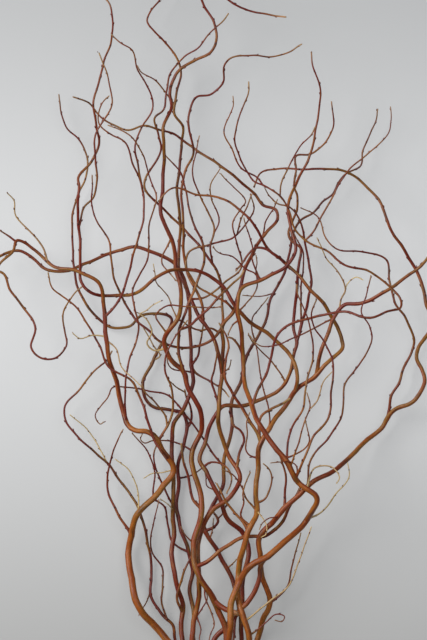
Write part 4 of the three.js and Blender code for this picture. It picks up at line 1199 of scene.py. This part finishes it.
class Finish:
    """A new material, and short ways to add and join its shader nodes."""

    def __init__(self, name, roughness):
        self.material = bpy.data.materials.new(name)
        self.material.use_nodes = True
        self.tree = self.material.node_tree
        self.shader = self.tree.nodes["Principled BSDF"]
        self.shader.inputs["Roughness"].default_value = roughness

    def add(self, kind, inputs=None, **settings):
        """A node with these settings, whose inputs are numbers, colours or other nodes' outputs."""
        node = self.tree.nodes.new("ShaderNode" + kind)
        for key, value in settings.items():
            setattr(node, key, value)
        for key, value in (inputs or {}).items():
            if isinstance(value, bpy.types.NodeSocket):
                self.tree.links.new(value, node.inputs[key])
            else:
                node.inputs[key].default_value = value
        return node

    def feed(self, name, socket):
        """Joins an output to one of the shader's inputs."""
        self.tree.links.new(socket, self.shader.inputs[name])

    def value_of(self, name):
        """A number that each point of the piece carries."""
        return self.add("Attribute", attribute_name=name, attribute_type="GEOMETRY").outputs["Fac"]

    def grain(self, stretch):
        """The wood's own coordinates in millimetres, squeezed along the grain."""
        grain = self.add("Attribute", attribute_name="grain", attribute_type="GEOMETRY")
        scaled = self.add("Mapping", {"Vector": grain.outputs["Vector"], "Scale": (stretch, 1, 1)})
        return scaled.outputs["Vector"]

    def noise(self, vector, scale, detail=2.0, roughness=0.5):
        """Smooth noise from 0 to 1."""
        inputs = {"Vector": vector, "Scale": scale, "Detail": detail, "Roughness": roughness}
        return self.add("TexNoise", inputs).outputs["Fac"]

    def spread(self, value, low, high, to_low=0.0, to_high=1.0, smooth=True):
        """Takes low..high to to_low..to_high, and holds it there outside."""
        inputs = {"Value": value, "From Min": low, "From Max": high}
        inputs |= {"To Min": to_low, "To Max": to_high}
        kind = "SMOOTHSTEP" if smooth else "LINEAR"
        return self.add("MapRange", inputs, interpolation_type=kind).outputs["Result"]

    def blend(self, share, first, second):
        """The second colour laid over the first by a share."""
        node = self.add("Mix", data_type="RGBA", clamp_factor=True)
        for socket, value in ((node.inputs[0], share), (node.inputs[6], first), (node.inputs[7], second)):
            if isinstance(value, bpy.types.NodeSocket):
                self.tree.links.new(value, socket)
            else:
                socket.default_value = (*value, 1) if isinstance(value, tuple) else value
        return node.outputs[2]

    def sum_of(self, first, second, kind="ADD"):
        """Arithmetic on two numbers or outputs."""
        return self.add("Math", {0: first, 1: second}, operation=kind).outputs[0]


def bark_finish(name, thick, thin, glow):
    """Smooth willow bark: thick old wood of one colour, thin shoots of another, a side that the
    sun has reddened, thin wood most, and a side that has stayed olive, winding slowly along the
    wood, ripe patches, weathered dark ones, dark and light streaks along the grain, dark leaf
    scars, pale pores, and dry straw-coloured shoots."""
    look = bpy.context.scene.willow_bark
    f = Finish(name, look.gloss)
    f.shader.inputs["Specular IOR Level"].default_value = 0.32
    place = f.add("TexCoord").outputs["Object"]
    girth = f.value_of("girth")
    colour = f.blend(f.spread(girth, 1.2, 4.8), thin, thick)
    patches = f.noise(place, 13.0, 3.0, 0.6)
    colour = f.blend(f.spread(patches, 0.46, 0.68, 0.0, 0.6), colour, glow)
    tone = f.value_of("tone")
    sides = f.noise(f.grain(0.09), 0.14, 2.0, 0.5)
    sides = f.sum_of(sides, f.sum_of(tone, 0.05, "MULTIPLY"))
    sunned = f.spread(girth, 2.4, 5.0, 0.9, 0.5)
    sunned = f.sum_of(sunned, f.spread(sides, 0.47, 0.62), "MULTIPLY")
    colour = f.blend(sunned, colour, tuple(look.sun_red))
    colour = f.blend(f.spread(sides, 0.34, 0.48, 0.7, 0.0), colour, tuple(look.shade_olive))
    weather = f.noise(f.grain(0.25), 0.12, 3.0, 0.6)
    colour = f.blend(f.spread(weather, 0.54, 0.70, 0.0, 0.55), colour, tuple(look.scar_colour))
    streaks = f.noise(f.grain(0.10), 1.1, 3.0, 0.6)
    mottle = f.noise(f.grain(0.45), 0.55, 4.0, 0.62)
    dark = f.spread(streaks, 0.30, 0.60, 0.34, 0.0)
    colour = f.blend(dark, colour, tuple(look.scar_colour))
    colour = f.blend(f.spread(mottle, 0.54, 0.80, 0.0, 0.30), colour, glow)
    colour = f.blend(f.value_of("straw"), colour, tuple(look.straw_colour))
    pores = f.add("TexVoronoi", {"Vector": f.grain(0.42), "Scale": 0.42}, feature="F1")
    pore = f.spread(pores.outputs["Distance"], 0.09, 0.15, 1.0, 0.0)
    pore = f.sum_of(pore, f.spread(girth, 0.8, 2.4, 0.0, 0.35), "MULTIPLY")
    colour = f.blend(pore, colour, tuple(look.pore_colour))
    scar = f.sum_of(f.value_of("node"), look.scar_depth, "MULTIPLY")
    colour = f.blend(scar, colour, tuple(look.scar_colour))
    f.feed("Base Color", colour)
    f.feed("Roughness", f.spread(mottle, 0.3, 0.75, look.gloss - 0.06, look.gloss + 0.16))
    fine = f.noise(f.grain(0.22), 3.2, 3.0, 0.6)
    height = f.sum_of(f.sum_of(streaks, 0.5, "MULTIPLY"), f.sum_of(fine, 0.35, "MULTIPLY"))
    height = f.sum_of(height, f.sum_of(pore, 0.8, "MULTIPLY"))
    bump = f.add("Bump", {"Strength": 0.35, "Distance": 0.0002, "Height": height})
    f.feed("Normal", bump.outputs["Normal"])
    return f.material


@functools.lru_cache(maxsize=1)
def cut_wood():
    """A fresh cut: a green line under the bark, pale wood with year rings, and a brown pith."""
    f = Finish("cut willow wood", 0.62)
    core = f.value_of("core")
    place = f.add("TexCoord").outputs["Object"]
    fibres = f.noise(place, 2600.0, 2.0, 0.6)
    wobble = f.sum_of(core, f.sum_of(f.noise(place, 500.0), 0.05, "MULTIPLY"))
    rings = f.add("Math", {0: f.sum_of(wobble, 34.0, "MULTIPLY")}, operation="SINE").outputs[0]
    colour = f.blend(f.spread(rings, 0.2, 1.0, 0.0, 0.35), paint(226, 205, 158), paint(190, 158, 104))
    colour = f.blend(f.spread(fibres, 0.45, 0.8, 0.0, 0.35), colour, paint(172, 140, 92))
    colour = f.blend(f.spread(core, 0.22, 0.12, 0.0, 0.9), colour, paint(128, 88, 52))
    colour = f.blend(f.spread(core, 0.90, 0.94, 0.0, 0.85), colour, paint(150, 150, 78))
    colour = f.blend(f.spread(core, 0.965, 0.99), colour, paint(96, 52, 28))
    f.feed("Base Color", colour)
    bump = f.add("Bump", {"Strength": 0.4, "Distance": 0.0002, "Height": fibres})
    f.feed("Normal", bump.outputs["Normal"])
    return f.material


@functools.lru_cache(maxsize=1)
def bud_scale():
    """A bud's single glossy scale: dark at the foot, redder and then paler at the tip."""
    look = bpy.context.scene.willow_bark
    f = Finish("willow bud scale", 0.36)
    share = f.value_of("share")
    colour = f.blend(f.spread(share, 0.1, 0.8), tuple(look.scar_colour), tuple(look.bud_colour))
    colour = f.blend(f.spread(f.value_of("tone"), -1, 1, 0, 0.4, False), colour, tuple(look.scar_colour))
    colour = f.blend(f.spread(share, 0.82, 1.0, 0.0, 0.5), colour, tuple(look.straw_colour))
    f.feed("Base Color", colour)
    place = f.add("TexCoord").outputs["Object"]
    f.feed("Roughness", f.spread(f.noise(place, 900.0), 0.3, 0.7, 0.28, 0.46))
    return f.material


# ---------------------------------------------------------------- stage


def floor_finish():
    """A matt pale studio floor with painted light: palest under the middle of the bunch, with painted
    shade towards the cut ends and the tips, and a painted glow of its own colour, though it is no
    lamp, so that the stems throw only faint shadows on it."""
    look = bpy.context.scene.willow_stage
    f = Finish("studio floor", 0.9)
    f.shader.inputs["Specular IOR Level"].default_value = 0.2
    # painted light: the floor glows with its own colour, though it is no lamp, to lift the stems' shadows
    f.shader.inputs["Emission Strength"].default_value = look.floor_glow
    place = f.add("TexCoord").outputs["Object"]
    along = f.add("SeparateXYZ", {"Vector": place}).outputs["Y"]
    near, middle, far = tuple(look.floor_painted_shade_near), tuple(look.floor_colour_with_painted_light), tuple(look.floor_painted_shade_far)
    # painted light falloff: palest under the middle of the bunch, painted shade towards the cut ends and the
    # tips
    shade = f.blend(f.spread(along, FLOOR_PAINTED_SHADE_ENDS[0], FLOOR_PAINTED_LIGHT_PEAK), near, middle)
    shade = f.blend(f.spread(along, FLOOR_PAINTED_LIGHT_PEAK, FLOOR_PAINTED_SHADE_ENDS[1]), shade, far)
    f.feed("Base Color", shade)
    f.feed("Emission Color", shade)
    return f.material


def make_floor():
    """A wide flat floor at the height that the bunch lies on: one round face."""
    look = bpy.context.scene.willow_stage
    turns = 96
    angle = np.arange(turns) * 2 * math.pi / turns
    rim = np.stack([np.cos(angle), np.sin(angle), np.zeros(turns)], axis=1) * look.floor_radius
    mesh = bpy.data.meshes.new("floor")
    mesh.from_pydata(rim.tolist(), [], [list(range(turns))])
    mesh.materials.append(floor_finish())
    floor = bpy.data.objects.new("floor", mesh)
    bpy.context.scene.collection.objects.link(floor)


def soft_light(name, power, place, size, colour):
    """A square soft light that faces the middle of the bunch, which is the origin."""
    data = bpy.data.lights.new(name, "AREA")
    data.size, data.energy, data.color = size, power, colour
    light = bpy.data.objects.new(name, data)
    light.location = place
    light.rotation_euler = (-light.location).to_track_quat("-Z", "Y").to_euler()
    bpy.context.scene.collection.objects.link(light)


def make_camera():
    """A long lens that looks straight down on the bunch, with its tips at the top of the view."""
    look = bpy.context.scene.willow_stage
    data = bpy.data.cameras.new("camera")
    data.lens = data.sensor_width * (look.camera_height - look.focus_height) / look.view_length
    data.clip_end = 100
    camera = bpy.data.objects.new("camera", data)
    middle = bunch_place() + np.array([0, VIEW_MIDDLE, 0]) / 1000
    camera.location = (middle[0], middle[1], look.camera_height)
    bpy.context.scene.collection.objects.link(camera)
    bpy.context.scene.camera = camera


# ---------------------------------------------------------------- add-on


def length(name, about, default, low=0.0):
    """A length in metres that a user can change."""
    return FloatProperty(name=name, description=about, default=default, min=low, unit="LENGTH", precision=4)


def colour(name, about, red, green, blue):
    """A colour that a user can change."""
    kept = paint(red, green, blue)
    return FloatVectorProperty(name=name, description=about, default=kept, subtype="COLOR", min=0, max=1)


class WillowWood(bpy.types.PropertyGroup):
    """Sizes of the wood and its buds."""

    ring_step: length("Ring Step", "Distance between rings of points along the wood", 0.0016, 0.0005)
    node_spacing: length("Node Spacing", "Distance between leaf nodes on thin wood", 0.016, 0.004)
    node_swelling: FloatProperty(
        name="Node Swelling", description="How much a node thickens the wood", default=0.07, min=0, max=0.3
    )
    fork_flare: FloatProperty(
        name="Fork Flare", description="How much a shoot widens at its foot", default=0.8, min=0, max=2
    )
    bud_length: length("Bud Length", "Length of a bud on wood of middling girth", 0.0044, 0.001)
    largest_bud_wood: length("Budded Wood", "Wood with a smaller radius than this has buds", 0.0028)
    cut_slant: FloatProperty(
        name="Cut Slant",
        description="How far the cut ends lean",
        default=0.42,
        min=0,
        max=0.7,
        subtype="ANGLE",
    )


class WillowBark(bpy.types.PropertyGroup):
    """Colours of the bark, buds and scars."""

    golden_thick: colour("Golden, Thick", "Old golden wood", 147, 78, 21)
    golden_thin: colour("Golden, Thin", "Thin shoots of golden stems", 112, 46, 27)
    amber_thick: colour("Amber, Thick", "Old amber wood", 129, 55, 18)
    amber_thin: colour("Amber, Thin", "Thin shoots of amber stems", 104, 40, 25)
    russet_thick: colour("Russet, Thick", "Old russet wood", 107, 36, 14)
    russet_thin: colour("Russet, Thin", "Thin shoots of russet stems", 98, 35, 23)
    maroon_thick: colour("Maroon, Thick", "Old maroon wood", 98, 28, 10)
    maroon_thin: colour("Maroon, Thin", "Thin shoots of maroon stems", 86, 30, 21)
    glow: colour("Ripened Patches", "Where sun has ripened the bark", 166, 106, 44)
    sun_red: colour("Sun Side", "The red of shoots that grew in the sun", 104, 26, 14)
    shade_olive: colour("Shade Side", "The olive of shoots that grew in shade", 128, 92, 28)
    straw_colour: colour("Dry Tips", "Dry and very young thin wood", 196, 172, 122)
    pore_colour: colour("Pores", "Pale breathing pores", 160, 112, 66)
    scar_colour: colour("Leaf Scars", "Leaf scars and the feet of buds", 34, 12, 9)
    bud_colour: colour("Buds", "The scale that covers a bud", 122, 44, 28)
    scar_depth: FloatProperty(
        name="Scar Depth", description="How dark the leaf scars are", default=0.62, min=0, max=1
    )
    gloss: FloatProperty(
        name="Bark Roughness", description="Lower is shinier", default=0.4, min=0.1, max=0.9
    )


class WillowStage(bpy.types.PropertyGroup):
    """The floor, the lights and the camera."""

    # The floor colours carry painted light: palest under the middle of the bunch and painted shade past the
    # cut ends and the tips, and Floor Glow gives the floor painted light of its own.
    floor_colour_with_painted_light: colour("Floor", "Colour of the floor under the middle of the bunch", 155, 156, 157)
    floor_painted_shade_near: colour("Floor by the Cut Ends", "Its colour past the cut ends", 117, 117, 116)
    floor_painted_shade_far: colour("Floor by the Tips", "Its colour past the tips", 131, 132, 133)
    floor_glow: FloatProperty(name="Floor Glow", description="Strength of its own light", default=0.9, min=0)
    floor_radius: length("Floor Radius", "How far the floor goes", 9.0, 1.0)
    key_power: FloatProperty(name="Key Light", description="Watts", default=230, min=0, subtype="POWER")
    fill_power: FloatProperty(name="Fill Light", description="Watts", default=60, min=0, subtype="POWER")
    sky: FloatProperty(name="Sky", description="Strength of the even light", default=0.16, min=0)
    camera_height: length("Camera Height", "Height of the camera over the floor", 15.0, 2.0)
    focus_height: length("Framed Height", "Height at which the view has its length", 0.06)
    view_length: length("View Length", "Length of bunch that the view takes in", 1.0, 0.1)


class StemsOfOneBark:
    """What the four stem operators share."""

    bl_options = {"REGISTER", "UNDO"}
    bark = ""

    def execute(self, context):
        look = context.scene.willow_bark
        thick, thin = (tuple(getattr(look, f"{self.bark}_{end}")) for end in ("thick", "thin"))
        finish = bark_finish(f"{self.bark} willow bark", thick, thin, tuple(look.glow))
        for name, bark, _ in STEMS:
            if bark == self.bark:
                make_stem(name, finish)
        return {"FINISHED"}


class WILLOW_OT_maroon_stems(StemsOfOneBark, bpy.types.Operator):
    """Build the dark maroon stems at the bottom of the bunch"""

    bl_idname = "willow.maroon_stems"
    bl_label = "Maroon Stems"
    bark = "maroon"


class WILLOW_OT_russet_stems(StemsOfOneBark, bpy.types.Operator):
    """Build the red-brown stems"""

    bl_idname = "willow.russet_stems"
    bl_label = "Russet Stems"
    bark = "russet"


class WILLOW_OT_amber_stems(StemsOfOneBark, bpy.types.Operator):
    """Build the orange-brown stems"""

    bl_idname = "willow.amber_stems"
    bl_label = "Amber Stems"
    bark = "amber"


class WILLOW_OT_golden_stems(StemsOfOneBark, bpy.types.Operator):
    """Build the thick golden stems on top of the bunch"""

    bl_idname = "willow.golden_stems"
    bl_label = "Golden Stems"
    bark = "golden"


class WILLOW_OT_buds(bpy.types.Operator):
    """Set a bud on every leaf node of the thin wood"""

    bl_idname = "willow.buds"
    bl_label = "Buds"
    bl_options = {"REGISTER", "UNDO"}

    def execute(self, context):
        for name, bark, _ in STEMS:
            make_buds(name)
        return {"FINISHED"}


class WILLOW_OT_stage(bpy.types.Operator):
    """Add the floor, soft lights and the camera"""

    bl_idname = "willow.stage"
    bl_label = "Floor, Lights and Camera"
    bl_options = {"REGISTER", "UNDO"}

    def execute(self, context):
        look = context.scene.willow_stage
        make_floor()
        soft_light("key light", look.key_power, *KEY_LIGHT)
        soft_light("fill light", look.fill_power, *FILL_LIGHT)
        world = bpy.data.worlds.new("studio air")
        world.use_nodes = True
        sky = world.node_tree.nodes["Background"].inputs
        sky["Color"].default_value = SKY_COLOUR
        sky["Strength"].default_value = look.sky
        context.scene.world = world
        context.scene.view_settings.view_transform = "Standard"
        make_camera()
        return {"FINISHED"}


OPERATORS = (
    WILLOW_OT_maroon_stems,
    WILLOW_OT_russet_stems,
    WILLOW_OT_amber_stems,
    WILLOW_OT_golden_stems,
    WILLOW_OT_buds,
    WILLOW_OT_stage,
)


class WILLOW_PT_panel(bpy.types.Panel):
    """Lists the willow bunch's pieces and sizes"""

    bl_idname = "WILLOW_PT_panel"
    bl_label = "Willow Bunch"
    bl_space_type = "VIEW_3D"
    bl_region_type = "UI"
    bl_category = "Willow"

    def draw(self, context):
        for operator in OPERATORS:
            self.layout.operator(operator.bl_idname)
        for group in ("willow_wood", "willow_bark", "willow_stage"):
            settings = getattr(context.scene, group)
            box = self.layout.box()
            for key in type(settings).__annotations__:
                box.prop(settings, key)


GROUPS = {"willow_wood": WillowWood, "willow_bark": WillowBark, "willow_stage": WillowStage}


def register():
    """Adds the settings, the operators and the panel."""
    for name, group in GROUPS.items():
        bpy.utils.register_class(group)
        setattr(bpy.types.Scene, name, PointerProperty(type=group))
    for kind in (*OPERATORS, WILLOW_PT_panel):
        bpy.utils.register_class(kind)


def unregister():
    """Takes them out again, last first."""
    for kind in (WILLOW_PT_panel, *reversed(OPERATORS)):
        bpy.utils.unregister_class(kind)
    for name, group in GROUPS.items():
        delattr(bpy.types.Scene, name)
        bpy.utils.unregister_class(group)


def main():
    """Builds everything, in order."""
    register()
    bpy.ops.willow.maroon_stems()
    bpy.ops.willow.russet_stems()
    bpy.ops.willow.amber_stems()
    bpy.ops.willow.golden_stems()
    bpy.ops.willow.buds()
    bpy.ops.willow.stage()


if __name__ == "__main__":
    main()
